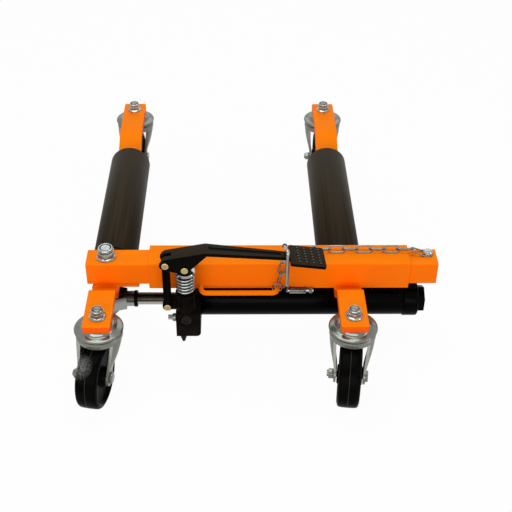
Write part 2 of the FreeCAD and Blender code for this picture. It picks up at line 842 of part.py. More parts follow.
name(rod_end(), "rod_end")
EYE_TOP = f"({RAM_Z} + eye_height / 2)"
EYE_BOTTOM = f"({RAM_Z} - eye_height / 2)"
ANCHOR_FOOT = f"({EYE_BOTTOM} - anchor_nut - anchor_tail)"
anchor_at = ("left_axle_x", "beam_y")
anchor_flange = turned([("0", "0"), ("anchor_flange_radius", "0"), ("anchor_flange_radius", "anchor_flange / 2"),
                        ("anchor_flats / 2", "anchor_flange * 1.3"), ("0", "anchor_flange * 1.3")],
                       *anchor_at, INNER_TOP)
anchor_head = hexagon("anchor_flats", "anchor_head", *anchor_at, f"{INNER_TOP} + anchor_flange")
anchor_shank = rod("anchor_radius", f"{INNER_TOP} - {ANCHOR_FOOT}", *anchor_at, ANCHOR_FOOT)
name(fuse(anchor_flange, anchor_head, anchor_shank), "anchor_bolt")
anchor_bore = "anchor_radius + running_clearance"
spacer = cut(rod("spacer_radius", f"{BAR_BOTTOM} - {EYE_TOP}", *anchor_at, EYE_TOP),
             rod(anchor_bore, f"{BAR_BOTTOM} - {EYE_TOP}", *anchor_at, EYE_TOP))
anchor_nut = cut(hexagon("anchor_flats", "anchor_nut", *anchor_at, f"{EYE_BOTTOM} - anchor_nut"),
                 rod(anchor_bore, "anchor_nut", *anchor_at, f"{EYE_BOTTOM} - anchor_nut"))
name(group(spacer, anchor_nut), "anchor_fittings")


# Foot pump
PLUNGER_FOOT = "(seat_z - plunger_depth)"
EAR_FRONT = f"({PUMP_Y} - ear_thickness / 2)"
VALVE_Y = PUMP_Y


def pump_block():
    """Casting that joins the ram's head, the plunger's barrel and the link's ear."""
    length = "head_left + head_right"
    low = f"({RAM_Z} - block_drop)"
    head = rod("head_radius", length, HEAD_LEFT, "beam_y", RAM_Z, "x")
    front = f"({PUMP_Y} - block_front)"
    block = box(HEAD_LEFT, front, low, length, f"beam_y - {front}", "block_drop + block_rise")
    right = number(HEAD_RIGHT)
    block = soften(block, "block_corner", lambda e: e.BoundBox.XMin > right - 1e-6
                   and e.BoundBox.ZMax < number(low) + 1e-6)
    boss = rod("boss_radius", f"seat_z - {low}", PLUNGER_X, PUMP_Y, low)
    ear_low = "(ear_z - ear_radius)"
    ear = box(LINK_X, EAR_FRONT, ear_low, "link_offset", "ear_thickness", "2 * ear_radius")
    ear_end = rod("ear_radius", "ear_thickness", LINK_X, EAR_FRONT, "ear_z", "y")
    drain = turned([("0", "0 - drain_height"), ("drain_radius / 3", "0 - drain_height"),
                    ("drain_radius", "0"), ("0", "0")],
                   f"{PLUNGER_X} - drain_left", f"{PUMP_Y} - drain_front", low)
    casting = fuse(head, block, boss, ear, ear_end, drain)
    rod_bore = rod("rod_radius + running_clearance", length, HEAD_LEFT, "beam_y", RAM_Z, "x")
    bottom = f"({PLUNGER_FOOT} - bore_spare)"
    barrel = rod("plunger_radius + running_clearance", f"seat_z - {bottom}", PLUNGER_X, PUMP_Y, bottom)
    pin_bore = rod("pin_radius + running_clearance", "ear_thickness", LINK_X, EAR_FRONT, "ear_z", "y")
    valve_bore = rod("valve_radius + running_clearance", "valve_depth", HEAD_LEFT, VALVE_Y, "valve_z", "x")
    return cut(casting, rod_bore, barrel, pin_bore, valve_bore)


name(pump_block(), "pump_block")

plug_face = f"({PUMP_Y} - block_front - front_plug_length)"
plug_disc = rod("front_plug_radius", "front_plug_length", PLUNGER_X, plug_face, "front_plug_z", "y")
plug_socket = hexagon("front_plug_radius", "front_plug_length / 2", PLUNGER_X, plug_face, "front_plug_z", "y")
name(cut(plug_disc, plug_socket), "pump_plug")

valve_line = (VALVE_Y, "valve_z", "x")
valve_neck = rod("valve_radius", "valve_depth", HEAD_LEFT, *valve_line)
valve_collar = rod("valve_collar", "valve_collar_length - crown_gap",
                   f"{HEAD_LEFT} - valve_collar_length", *valve_line)
valve_core = rod("valve_radius", "valve_collar_length", f"{HEAD_LEFT} - valve_collar_length", *valve_line)
valve_head = hexagon("valve_head", "valve_head_length",
                     f"{HEAD_LEFT} - valve_collar_length - valve_head_length", *valve_line, SQUARE_SIDES)
name(fuse(valve_neck, valve_core, valve_collar, valve_head), "release_valve")

COLLAR_TOP = "(plunger_pin_z - pin_radius - 2 * pin_head - pin_radius / 2)"
COLLAR_LOW = f"({COLLAR_TOP} - collar_height)"


def plunger():
    """Plunger with the spring's collar and the tongue for its pin."""
    stem = rod("plunger_radius", f"{COLLAR_LOW} - {PLUNGER_FOOT}", PLUNGER_X, PUMP_Y, PLUNGER_FOOT)
    collar = turned([("0", "0"), ("collar_radius - pin_head / 2", "0"), ("collar_radius", "pin_head / 2"),
                     ("collar_radius", "collar_height"), ("0", "collar_height")],
                    PLUNGER_X, PUMP_Y, COLLAR_LOW)
    tongue = box(f"{PLUNGER_X} - tongue_length / 2", f"{PUMP_Y} - tongue_width / 2", COLLAR_TOP,
                 "tongue_length", "tongue_width", f"plunger_pin_z + tongue_rise - {COLLAR_TOP}")
    pin_bore = rod("pin_radius", "tongue_width", PLUNGER_X, f"{PUMP_Y} - tongue_width / 2",
                   "plunger_pin_z", "y")
    return cut(fuse(stem, collar, tongue), pin_bore)


def headed_pin(x, z, span):
    """Round pin along Y with a flat head at each end."""
    begin = f"({PUMP_Y} - ({span}) / 2)"
    shank = rod("pin_radius", span, x, begin, z, "y")
    front = rod("pin_head_radius", "pin_head", x, f"{begin} - pin_head", z, "y")
    back = rod("pin_head_radius", "pin_head", x, f"{begin} + {span}", z, "y")
    return fuse(front, shank, back)


LINK_SPAN = "(ear_thickness + 2 * link_gap + 2 * link_thickness)"
PEDAL_SPAN = "(pedal_width + 2 * link_gap)"


def link_bars():
    """Two flat bars, one each side of the ear."""
    bars = []
    for y in (f"{PUMP_Y} - {LINK_SPAN} / 2", f"{PUMP_Y} + ear_thickness / 2 + link_gap"):
        bar = box(f"{LINK_X} - link_width / 2", y, "ear_z", "link_width", "link_thickness",
                  f"{LINK_TOP_Z} - ear_z")
        eyes = [rod("link_eye_radius", "link_thickness", LINK_X, y, z, "y") for z in ("ear_z", LINK_TOP_Z)]
        bores = [rod("pin_radius", "link_thickness", LINK_X, y, z, "y") for z in ("ear_z", LINK_TOP_Z)]
        bars.append(cut(fuse(bar, *eyes), *bores))
    return group(*bars)


name(plunger(), "plunger")
name(headed_pin(PLUNGER_X, "plunger_pin_z", PEDAL_SPAN), "plunger_pin")
name(link_bars(), "pump_link")
name(headed_pin(LINK_X, LINK_TOP_Z, PEDAL_SPAN), "link_top_pin")
name(headed_pin(LINK_X, "ear_z", f"({LINK_SPAN} + 2 * link_gap)"), "link_bottom_pin")


# Return spring: one unbroken tube whose centre line is made of tangent arcs
def arc_from(start, control, end):
    """Arc between two points whose end tangents meet at the control point."""
    weight = start.distanceToPoint(end) / 2 / start.distanceToPoint(control)
    middle = (start + control * (2 * weight) + end) * (1 / (2 + 2 * weight))
    return Part.Arc(start, middle, end).toShape()


def biarc(start, start_way, end, end_way):
    """Two arcs that leave and arrive along the given directions."""
    gap = end - start
    both = start_way + end_way
    a = 2 * (start_way.dot(end_way) - 1)
    b = -2 * gap.dot(both)
    c = gap.dot(gap)
    reach = (-b - math.sqrt(b * b - 4 * a * c)) / (2 * a)
    first, last = start + start_way * reach, end - end_way * reach
    meet = (first + last) * 0.5
    return [arc_from(start, first, meet), arc_from(meet, last, end)]


def spring_shape():
    radius, wire = number("spring_radius"), number("spring_wire")
    low = number("seat_z + spring_wire + spring_gap")
    high = number(f"{COLLAR_LOW} - spring_wire - spring_gap")
    turns = number("spring_turns")
    middle = point(PLUNGER_X, PUMP_Y, "0")
    quarter = 2 * math.pi / QUARTER_TURNS
    climb = (high - low) / (turns * 2 * math.pi)
    steps = round(turns * QUARTER_TURNS)

    def at(step):
        angle = step * quarter
        return middle + Vector(radius * math.cos(angle), radius * math.sin(angle), low + climb * angle)

    def way(step):
        angle = step * quarter
        return Vector(-radius * math.sin(angle), radius * math.cos(angle), climb).normalize()

    edges = []
    for step in range(steps):
        edges += biarc(at(step), way(step), at(step + 1), way(step + 1))
    print("spring self gap", round(climb * 2 * math.pi - 2 * wire, 3))
    return wire_solid(Part.Wire(edges), wire)


name(shaped(spring_shape(), "spring"), "return_spring")


# Foot pedal
PEDAL_END = f"({HOOK_REACH} + pedal_past_hook)"
GROOVE_END = f"({HOOK_REACH} - groove_short)"
FOOT_START = f"({HOOK_REACH} + foot_past_hook)"


def arm_z(x):
    """Height of the pedal arm's top at a distance from the plunger's axis."""
    return f"(pedal_bend_z - (({x}) - pedal_bend_x) * tan(pedal_slope))"


PEDAL_FLOOR = "(plunger_pin_z - 2 * pedal_lobe_radius)"
ARM_TAPER = "(pedal_width - pedal_arm_width)"


def arm_front(inset):
    """Space in front of the arm, whose front narrows from the bend to the hook."""
    beyond = f"({PEDAL_END} + pedal_lobe_radius)"
    corners = [
        ("pedal_bend_x", "0"),
        (HOOK_REACH, ARM_TAPER),
        (beyond, ARM_TAPER),
        (beyond, "0 - pedal_width"),
        ("pedal_bend_x", "0 - pedal_width"),
    ]
    return plate("XY_Plane", corners, f"pedal_bend_z + pedal_lobe_radius - {PEDAL_FLOOR}", PLUNGER_X,
                 f"{PUMP_Y} - pedal_width / 2 + {inset}", PEDAL_FLOOR)


def arm_groove():
    """Pressed groove along the middle of the narrowing arm."""
    channel = [
        ("groove_start", f"{arm_z('groove_start')} + pedal_wall"),
        (GROOVE_END, f"{arm_z(GROOVE_END)} + pedal_wall"),
        (GROOVE_END, f"{arm_z(GROOVE_END)} - groove_depth"),
        ("groove_start", f"{arm_z('groove_start')} - groove_depth"),
    ]
    turn = f"atan({ARM_TAPER} / 2 / ({HOOK_REACH} - pedal_bend_x))"
    return place(plate("XZ_Plane", channel, "groove_width"), PLUNGER_X,
                 f"{PUMP_Y} + groove_width / 2 - pedal_bend_x * tan({turn})", "0", (0, 0, 1), turn)


def pedal_lever():
    """Pressed channel: two cheeks round the pins and a long grooved arm."""
    lobe = "pedal_lobe_radius"
    knee = f"(pedal_bend_z - pedal_flange - (pedal_knee - pedal_bend_x) * tan(pedal_slope))"
    side = [
        ("0 - pedal_left", "pedal_left_z"),
        ("pedal_bend_x", "pedal_bend_z"),
        (PEDAL_END, arm_z(PEDAL_END)),
        (PEDAL_END, f"{arm_z(PEDAL_END)} - pedal_flange"),
        ("pedal_knee", knee),
        (lobe, "plunger_pin_z"),
        ("0", f"plunger_pin_z - {lobe}"),
        ("0 - link_offset", f"{LINK_TOP_Z} - {lobe}"),
        ("0 - pedal_left", LINK_TOP_Z),
    ]
    front = f"({PUMP_Y} - pedal_width / 2)"
    back = f"({PUMP_Y} + pedal_width / 2)"
    cheeks = plate("XZ_Plane", side, "pedal_width", PLUNGER_X, back)
    corner = point(f"{PLUNGER_X} - pedal_left", back, "pedal_left_z")
    cheeks = soften(cheeks, "pedal_corner", lambda e: e.BoundBox.ZMax - e.BoundBox.ZMin < NEAR
                    and e.CenterOfMass.distanceToLine(corner, Vector(0, 1, 0)) < NEAR)
    eyes = [rod(lobe, "pedal_width", x, front, z, "y")
            for x, z in ((PLUNGER_X, "plunger_pin_z"), (LINK_X, LINK_TOP_Z))]
    beyond = "(pedal_left + pedal_lobe_radius)"
    inside_end = f"({PEDAL_END} - pedal_wall)"
    room = [
        (f"0 - {beyond}", "pedal_left_z - pedal_wall - (pedal_bend_z - pedal_left_z) / 8"),
        ("pedal_bend_x", "pedal_bend_z - pedal_wall"),
        (inside_end, f"{arm_z(inside_end)} - pedal_wall"),
        (inside_end, PEDAL_FLOOR),
        (f"0 - {beyond}", PEDAL_FLOOR),
    ]
    hollow = plate("XZ_Plane", room, "pedal_width - 2 * pedal_wall", PLUNGER_X, f"{back} - pedal_wall")
    notch = box(f"{PLUNGER_X} - {beyond}", f"{PUMP_Y} - pedal_notch_width / 2", PEDAL_FLOOR,
                "pedal_lobe_radius + pedal_notch_length", "pedal_notch_width",
                f"pedal_bend_z - {PEDAL_FLOOR}")
    link_bore = rod("pin_radius + running_clearance", "pedal_width", LINK_X, front, LINK_TOP_Z, "y")
    open_bore = rod("pin_radius + open_pivot_clearance", "pedal_width", PLUNGER_X, front,
                    "plunger_pin_z", "y")
    inside = cut(hollow, arm_front("pedal_wall"))
    return cut(fuse(cheeks, *eyes), arm_front("0"), inside, arm_groove(), notch, link_bore, open_bore)


def foot_pad():
    """Rubber pad on the arm's end, with rows of raised dots."""
    sole = [
        ("0", "0 - foot_width / 2"),
        ("foot_length", "0 - foot_width / 2"),
        ("foot_length - foot_rake", "foot_width / 2"),
        ("0 - foot_rake", "foot_width / 2"),
    ]
    pieces = [soften(plate("XY_Plane", sole, "foot_thickness"), "foot_corner", upright)]
    columns, rows = round(number("stud_dot_columns")), round(number("stud_dot_rows"))
    for column in range(columns):
        for row in range(rows):
            dot = new("Part::Cone", "dot")
            bind(dot, Radius1="stud_dot_radius", Radius2="stud_dot_radius * 0.6",
                 Height="stud_dot_height + stud_dot_radius / 4")
            along = f"stud_dot_start + stud_dot_run * {column} / {columns - 1} - foot_rake * {row} / {rows - 1}"
            across = f"(foot_width - 2 * stud_dot_margin) * ({row} / {rows - 1} - 0.5)"
            pieces.append(place(dot, along, across, "foot_thickness - stud_dot_radius / 4"))
    return place(fuse(*pieces), f"{PLUNGER_X} + {FOOT_START}", PUMP_Y, arm_z(FOOT_START),
                 (0, 1, 0), "pedal_slope")


name(pedal_lever(), "pedal_lever")
name(foot_pad(), "foot_pad")


# Lock hook that swings forward off the pedal on a sleeve along the beam
HOOK_Y = f"({TUBE_FRONT} - sleeve_radius)"
HOOK_Z = "(beam_z - hook_drop)"
SLEEVE_X = f"({HOOK_X} + sleeve_start)"
NUT_X = f"({SLEEVE_X} + sleeve_length + hook_nut_gap)"


def hook_sleeve():
    where = (SLEEVE_X, HOOK_Y, HOOK_Z, "x")
    return cut(rod("sleeve_radius", "sleeve_length", *where),
               rod("hook_wire + running_clearance", "sleeve_length", *where))


def hook_shape():
    """Bent wire from the sleeve up in front of the pedal and over it."""
    top = f"{HOOK_Z} + hook_rise"
    runs = [
        point(f"{NUT_X} + hook_nut_length + pin_head", HOOK_Y, HOOK_Z),
        point(HOOK_X, HOOK_Y, HOOK_Z),
        point(HOOK_X, f"{HOOK_Y} - hook_front", f"{HOOK_Z} + hook_elbow"),
        point(HOOK_X, f"{HOOK_Y} - hook_front", top),
        point(f"{HOOK_X} - hook_lean", f"{HOOK_Y} - hook_back", f"{top} - hook_dip"),
    ]
    wire = wire_solid(bent_path(runs, number("hook_bend") / 2), number("hook_wire"))
    return wire.fuse(Part.makeSphere(number("hook_ball"), runs[-1]))


hook_nut_at = (NUT_X, HOOK_Y, HOOK_Z, "x")
name(hook_sleeve(), "hook_sleeve")
name(shaped(hook_shape(), "hook"), "lock_hook")
name(cut(hexagon("hook_nut_flats", "hook_nut_length", *hook_nut_at),
         rod("hook_wire", "hook_nut_length", *hook_nut_at)), "hook_nut")


# Carry handle
HANDLE_LEFT = f"({OUTER_LEFT} + handle_start)"
HANDLE_RIGHT = f"({HOOK_X} - handle_short)"
HANDLE_Y = f"({TUBE_FRONT} - handle_standoff)"
HANDLE_Z = "(beam_z - handle_drop)"
handle_runs = [point(x, y, HANDLE_Z) for x, y in ((HANDLE_LEFT, TUBE_FRONT), (HANDLE_LEFT, HANDLE_Y),
                                                  (HANDLE_RIGHT, HANDLE_Y), (HANDLE_RIGHT, TUBE_FRONT))]
handle = wire_solid(bent_path(handle_runs, number("handle_bend")), number("handle_wire"))
name(shaped(handle, "handle"), "carry_handle")


# Safety chain from the end bolt along the beam and down to the handle
def chain_bolt():
    """Domed bolt through the end stub with its nut below."""
    seat = f"({INNER_TOP} + 2 * chain_wire + spring_gap)"
    foot = f"({INNER_BOTTOM} - chain_bolt_nut - pin_head)"
    where = (CHAIN_BOLT_X, CHAIN_Y)
    shank = rod("chain_bolt_radius", f"{seat} - {foot}", *where, foot)
    dome = turned([("0", "0"), ("chain_bolt_head", "0"), ("chain_bolt_head", "chain_bolt_dome / 3"),
                   ("chain_bolt_head * 0.7", "chain_bolt_dome * 0.85"), ("0", "chain_bolt_dome")], *where, seat)
    nut_low = f"{INNER_BOTTOM} - chain_bolt_nut"
    nut = cut(hexagon("chain_bolt_flats", "chain_bolt_nut", *where, nut_low),
              rod("chain_bolt_radius", "chain_bolt_nut", *where, nut_low))
    return group(fuse(shank, dome), nut)


def end_loop():
    """Closed wire loop round the bolt, rising to the level of the chain."""
    low = f"{INNER_TOP} + chain_wire + spring_gap / 2"
    high = f"{TUBE_TOP} + chain_clear"
    plan = [("0 - loop_reach", "loop_tip", high), ("0 - loop_half", "loop_half", low),
            ("loop_half", "loop_half", low), ("loop_half", "0 - loop_half", low),
            ("0 - loop_half", "0 - loop_half", low), ("0 - loop_reach", "0 - loop_tip", high)]
    runs = [point(f"{CHAIN_BOLT_X} + {x}", f"{CHAIN_Y} + {y}", z) for x, y, z in plan]
    return wire_solid(bent_path(runs, number("loop_tip") * 0.9, closed=True), number("chain_wire"))


RING_CENTRE = point(HANDLE_RIGHT, f"{TUBE_FRONT} - ring_inset", f"{HANDLE_Z} + ring_lift")


def split_ring():
    return Part.makeTorus(number("ring_radius"), number("ring_wire"), RING_CENTRE, Vector(0, 1, 0))


def spaced(route, count):
    """Points at even steps along a route of straight runs."""
    lengths = [a.distanceToPoint(b) for a, b in zip(route, route[1:])]
    step = sum(lengths) / count
    spots = []
    for index in range(count + 1):
        left = step * index
        for start, end, run in zip(route, route[1:], lengths):
            if left <= run + 1e-6:
                spots.append(start + (end - start) * (left / run))
                break
            left -= run
    return spots


def chain_joints():
    """Where the links meet: along the beam, over its front edge and down to the ring."""
    level = f"{TUBE_TOP} + chain_clear"
    edge_x = f"{HANDLE_RIGHT} + chain_edge_shift"
    start = point(f"{CHAIN_BOLT_X} - loop_reach", CHAIN_Y, level)
    turn = point(f"{edge_x} + chain_turn_reach", CHAIN_Y, level)
    edge = point(edge_x, f"{TUBE_FRONT} - chain_edge_gap", f"{level} + chain_edge_lift")
    finish = RING_CENTRE + point("0", "0", "ring_radius")
    return spaced([start, turn, edge], TOP_LINKS) + spaced([edge, finish], HANGING_LINKS)[1:]


def chain_link(start, end, first_reach, last_reach, lean):
    """One oval link round two joints, leaning by an angle to one side."""
    along = (end - start).normalize()
    lift = Vector(0, 0, 1) if abs(along.z) < abs(along.x) else Vector(0, -1, 0)
    across = lift.cross(along).normalize()
    rise = along.cross(across)
    half = number("chain_link_width / 2 - chain_wire")
    wide = (across * math.cos(lean) + rise * math.sin(lean)) * half
    first = start - along * first_reach
    last = end + along * last_reach
    inner_first = first + along * half
    inner_last = last - along * half
    path = Part.Wire([
        Part.LineSegment(inner_last + wide, inner_first + wide).toShape(),
        Part.Arc(inner_first + wide, first, inner_first - wide).toShape(),
        Part.LineSegment(inner_first - wide, inner_last - wide).toShape(),
        Part.Arc(inner_last - wide, last, inner_last + wide).toShape(),
    ])
    return wire_solid(path, number("chain_wire"))


def safety_chain():
    joints = chain_joints()
    plain = number("chain_wire + chain_link_play / 2")
    reaches = [number("2 * chain_wire + chain_link_play")]
    for before, here, after in zip(joints, joints[1:], joints[2:]):
        bend = (here - before).getAngle(after - here)
        reaches.append(plain / math.cos(bend / 2) ** 2)
    reaches.append(number("ring_wire + chain_wire + chain_link_play"))
    links = []
    for index in range(TOP_LINKS + HANGING_LINKS):
        eased = max(0, index - TOP_LINKS + EASED_LINKS + 1)
        lean = number("chain_lean") + QUARTER * index - number("chain_untwist") * eased
        if index >= TOP_LINKS:
            lean = number("chain_hang_lean") + QUARTER * (index - TOP_LINKS)
        links.append(chain_link(joints[index], joints[index + 1],
                                reaches[index], reaches[index + 1], math.radians(lean)))
    return Part.makeCompound(links)


name(chain_bolt(), "chain_bolt")
name(shaped(Part.makeCompound([end_loop(), split_ring()]), "rings"), "chain_rings")
name(shaped(safety_chain(), "chain"), "safety_chain")


# Export
doc.recompute()
for obj in doc.Objects:
    if {"Invalid", "Error"} & set(obj.State):
        raise RuntimeError(f"{obj.Label} did not build: {obj.State}")
os.makedirs("parts", exist_ok=True)
for obj in nodes:
    if obj.Shape.isNull() or not obj.Shape.isValid() or not obj.Shape.Solids:
        raise RuntimeError(f"{obj.Label} has no valid solid")
    obj.Shape.exportStep(f"parts/{obj.Label}.step")
print(len(nodes), "pieces,", sum(len(obj.Shape.Solids) for obj in nodes), "solids")
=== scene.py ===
# %% [markdown]
# # Dressing a hydraulic wheel dolly
# The real thing is a pair of steel rollers on castors. A telescopic beam joins them, and a
# foot-pumped ram pulls them together under a tyre until the wheel stands off the floor.
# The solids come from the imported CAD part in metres, so nothing has to be fitted. This lesson
# sets a camera and lights, mixes the finishes, softens edges and adds small workshop detail.

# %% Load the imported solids
import json
import math

import bmesh
import bpy
from mathutils import Matrix, Vector


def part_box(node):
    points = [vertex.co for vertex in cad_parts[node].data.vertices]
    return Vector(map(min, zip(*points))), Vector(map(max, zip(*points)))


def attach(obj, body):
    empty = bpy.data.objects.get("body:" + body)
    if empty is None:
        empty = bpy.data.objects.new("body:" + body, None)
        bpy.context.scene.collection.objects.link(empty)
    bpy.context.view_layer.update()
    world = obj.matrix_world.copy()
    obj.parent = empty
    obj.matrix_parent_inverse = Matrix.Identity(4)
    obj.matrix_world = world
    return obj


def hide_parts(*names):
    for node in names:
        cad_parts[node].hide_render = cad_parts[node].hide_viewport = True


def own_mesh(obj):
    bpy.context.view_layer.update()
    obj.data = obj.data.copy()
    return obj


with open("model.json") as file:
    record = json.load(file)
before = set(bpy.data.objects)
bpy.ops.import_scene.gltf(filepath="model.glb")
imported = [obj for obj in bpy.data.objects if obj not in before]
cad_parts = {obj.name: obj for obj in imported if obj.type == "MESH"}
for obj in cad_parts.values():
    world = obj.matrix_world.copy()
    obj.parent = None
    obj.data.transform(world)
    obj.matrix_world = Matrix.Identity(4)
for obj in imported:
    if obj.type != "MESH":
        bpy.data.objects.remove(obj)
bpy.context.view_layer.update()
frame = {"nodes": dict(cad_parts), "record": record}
nodes = frame["nodes"]
record = frame["record"]
body_of = {node: body for body, members in record["behaviour"]["bodies"].items()
           for node in members}
slot_of = {entry["node"]: entry["material_slot"] for entry in record["subparts"]}
MM = 0.001

# %% [markdown]
# ## The camera
# A camera can be found by matching known edges of the object with the picture. Here the square
# tube, the rollers and the castor studs gave the position, the three angles and the lens.

# %% Place the camera
CAMERA_PLACE = Vector((-30.85, -1396.79, 1094.67)) * MM
CAMERA_PITCH = math.radians(37.365)
CAMERA_YAW = math.radians(1.288)
CAMERA_ROLL = math.radians(0.678)
CAMERA_LENS = 68.744
SENSOR_WIDTH = 36.0
CLIP_START = 0.05

camera_data = bpy.data.cameras.new("studio_camera")
camera_data.lens = CAMERA_LENS
camera_data.sensor_width = SENSOR_WIDTH
camera_data.clip_start = CLIP_START
camera = bpy.data.objects.new("studio_camera", camera_data)
bpy.context.scene.collection.objects.link(camera)
camera.matrix_world = (
    Matrix.Translation(CAMERA_PLACE)
    @ Matrix.Rotation(-CAMERA_YAW, 4, "Z")
    @ Matrix.Rotation(math.pi / 2 - CAMERA_PITCH, 4, "X")
    @ Matrix.Rotation(CAMERA_ROLL, 4, "Z")
)
bpy.context.scene.camera = camera
bpy.context.scene.view_settings.view_transform = "Standard"
print("lens", camera_data.lens, "mm")

# %% [markdown]
# ## Node helpers
# Materials are small graphs. Two helpers keep them readable: one adds a node and fills its
# sockets by name, the other opens a new material with its shader ready.


# %% Helpers for shader graphs
def add(tree, kind, sockets=None, **settings):
    """Add a node; a socket value that is itself a socket becomes a link."""
    node = tree.nodes.new(kind)
    for key, value in settings.items():
        setattr(node, key, value)
    for key, value in (sockets or {}).items():
        if isinstance(value, bpy.types.NodeSocket):
            tree.links.new(value, node.inputs[key])
        else:
            node.inputs[key].default_value = value
    return node


def open_material(name, **sockets):
    """A new material, its node tree and its shader with constants set on the sockets."""
    material = bpy.data.materials.new(name)
    material.use_nodes = True
    tree = material.node_tree
    shader = tree.nodes["Principled BSDF"]
    for key, value in sockets.items():
        shader.inputs[key.replace("_", " ")].default_value = value
    return material, tree, shader


# %% [markdown]
# ## Shared surface effects
# Paint, zinc and rubber all need uneven colour and fine relief. A node group holds such an effect
# once. *cloud* is soft noise cut to a mask, and *drawn* is noise stretched along one direction,
# the way rolling, drawing or turning leaves lines in metal.

# %% Groups for clouds and drawn lines
FLOAT, VECTOR = "NodeSocketFloat", "NodeSocketVector"
LEVELS = [("Detail", FLOAT, 3.0), ("Low", FLOAT, 0.35), ("High", FLOAT, 0.65)]


def open_group(name, first_input):
    """A new group, what it is given, and the object's own coordinates inside it."""
    group = bpy.data.node_groups.new(name, "ShaderNodeTree")
    for label, kind, value in [first_input, *LEVELS]:
        socket = group.interface.new_socket(label, in_out="INPUT", socket_type=kind)
        socket.default_value = value
    group.interface.new_socket("Mask", in_out="OUTPUT", socket_type=FLOAT)
    coordinates = add(group, "ShaderNodeTexCoord").outputs["Object"]
    return group, group.nodes.new("NodeGroupInput").outputs, coordinates


def close_group(group, given, noise):
    """Cut the noise between two levels and hand it out as a mask."""
    cut = add(group, "ShaderNodeMapRange", {
        "Value": noise.outputs["Fac"], "From Min": given["Low"], "From Max": given["High"]})
    result = group.nodes.new("NodeGroupOutput")
    group.links.new(cut.outputs["Result"], result.inputs["Mask"])


cloud_group, given, coordinates = open_group("cloud", ("Scale", FLOAT, 10.0))
noise = add(cloud_group, "ShaderNodeTexNoise", {
    "Vector": coordinates, "Scale": given["Scale"], "Detail": given["Detail"]})
close_group(cloud_group, given, noise)

drawn_group, given, coordinates = open_group("drawn", ("Stretch", VECTOR, (1.0, 1.0, 1.0)))
stretch = add(drawn_group, "ShaderNodeMapping", {
    "Vector": coordinates, "Scale": given["Stretch"]})
noise = add(drawn_group, "ShaderNodeTexNoise", {
    "Vector": stretch.outputs["Vector"], "Scale": 1.0, "Detail": given["Detail"]})
close_group(drawn_group, given, noise)
print("groups:", cloud_group.name, drawn_group.name)

# %% Helpers for masks and relief
MIX_FIRST, MIX_SECOND, MIX_RESULT = 6, 7, 2  # the colour sockets of a mix node


def use(tree, group, **sockets):
    """Place a group in a material and return its mask."""
    node = tree.nodes.new("ShaderNodeGroup")
    node.node_tree = group
    for key, value in sockets.items():
        node.inputs[key].default_value = value
    return node.outputs["Mask"]


def between(tree, mask, low, high):
    """A mask turned into a range of values."""
    spread = add(tree, "ShaderNodeMapRange", {"Value": mask, "To Min": low, "To Max": high})
    return spread.outputs["Result"]


def combine(tree, operation, first, second):
    """Two values put through one operation."""
    return add(tree, "ShaderNodeMath", {0: first, 1: second}, operation=operation).outputs[0]


def blend_colours(tree, mask, first, second):
    """From the first colour to the second as the mask rises."""
    mix = add(tree, "ShaderNodeMix", data_type="RGBA")
    tree.links.new(mask, mix.inputs["Factor"])
    for socket, colour in ((mix.inputs[MIX_FIRST], first), (mix.inputs[MIX_SECOND], second)):
        if isinstance(colour, bpy.types.NodeSocket):
            tree.links.new(colour, socket)
        else:
            socket.default_value = (*colour, 1.0)
    return mix.outputs[MIX_RESULT]


def relief(tree, shader, height, depth):
    """Fine bumps of a given depth in metres."""
    bump = add(tree, "ShaderNodeBump", {"Strength": 1.0, "Distance": depth, "Height": height})
    tree.links.new(bump.outputs["Normal"], shader.inputs["Normal"])


def facing_up(tree, low, full=1.0):
    """How far a surface looks up, from none to full between two heights of its normal."""
    surface = add(tree, "ShaderNodeTexCoord")
    normal = add(tree, "ShaderNodeSeparateXYZ", {"Vector": surface.outputs["Normal"]})
    share = add(tree, "ShaderNodeMapRange", {
        "Value": normal.outputs["Z"], "From Min": low, "From Max": full})
    return share.outputs["Result"]


# %% [markdown]
# ## Paints
# The frame is powder coated: a thick, even skin with a faint orange-peel relief and a soft shine.
# Where it looks up it is painted a little lighter and yellower as light from above, and the normal
# of the surface says where that is. The pump and ram are sprayed black, over cast or drawn metal,
# and brown patches on the casting are painted highlights.

# %% Mix the paints
LIT_TOP_ORANGE = (0.925, 0.203, 0.001)
LIT_TOP_START = 0.2
PAINT_PEEL = 0.00003


def paint(name, colour, shade, top, rough, peel, shine, depth=PAINT_PEEL, patch=9.0, full=1.0):
    """Two shades in patches, a third one painted as light where the surface looks up, and a fine
    relief.
    """
    material, tree, shader = open_material(name, Specular_IOR_Level=shine)
    patches = use(tree, cloud_group, Scale=patch, Detail=4.0, Low=0.3, High=0.7)
    skin = use(tree, cloud_group, Scale=peel, Detail=2.0, Low=0.25, High=0.75)
    coat = blend_colours(tree, patches, colour, shade)
    # Where the surface looks up, the third shade is painted light from above.
    painted_light_coat = blend_colours(tree, facing_up(tree, LIT_TOP_START, full), coat, top)
    tree.links.new(painted_light_coat, shader.inputs["Base Color"])
    tree.links.new(between(tree, patches, *rough), shader.inputs["Roughness"])
    relief(tree, shader, skin, depth)
    return material


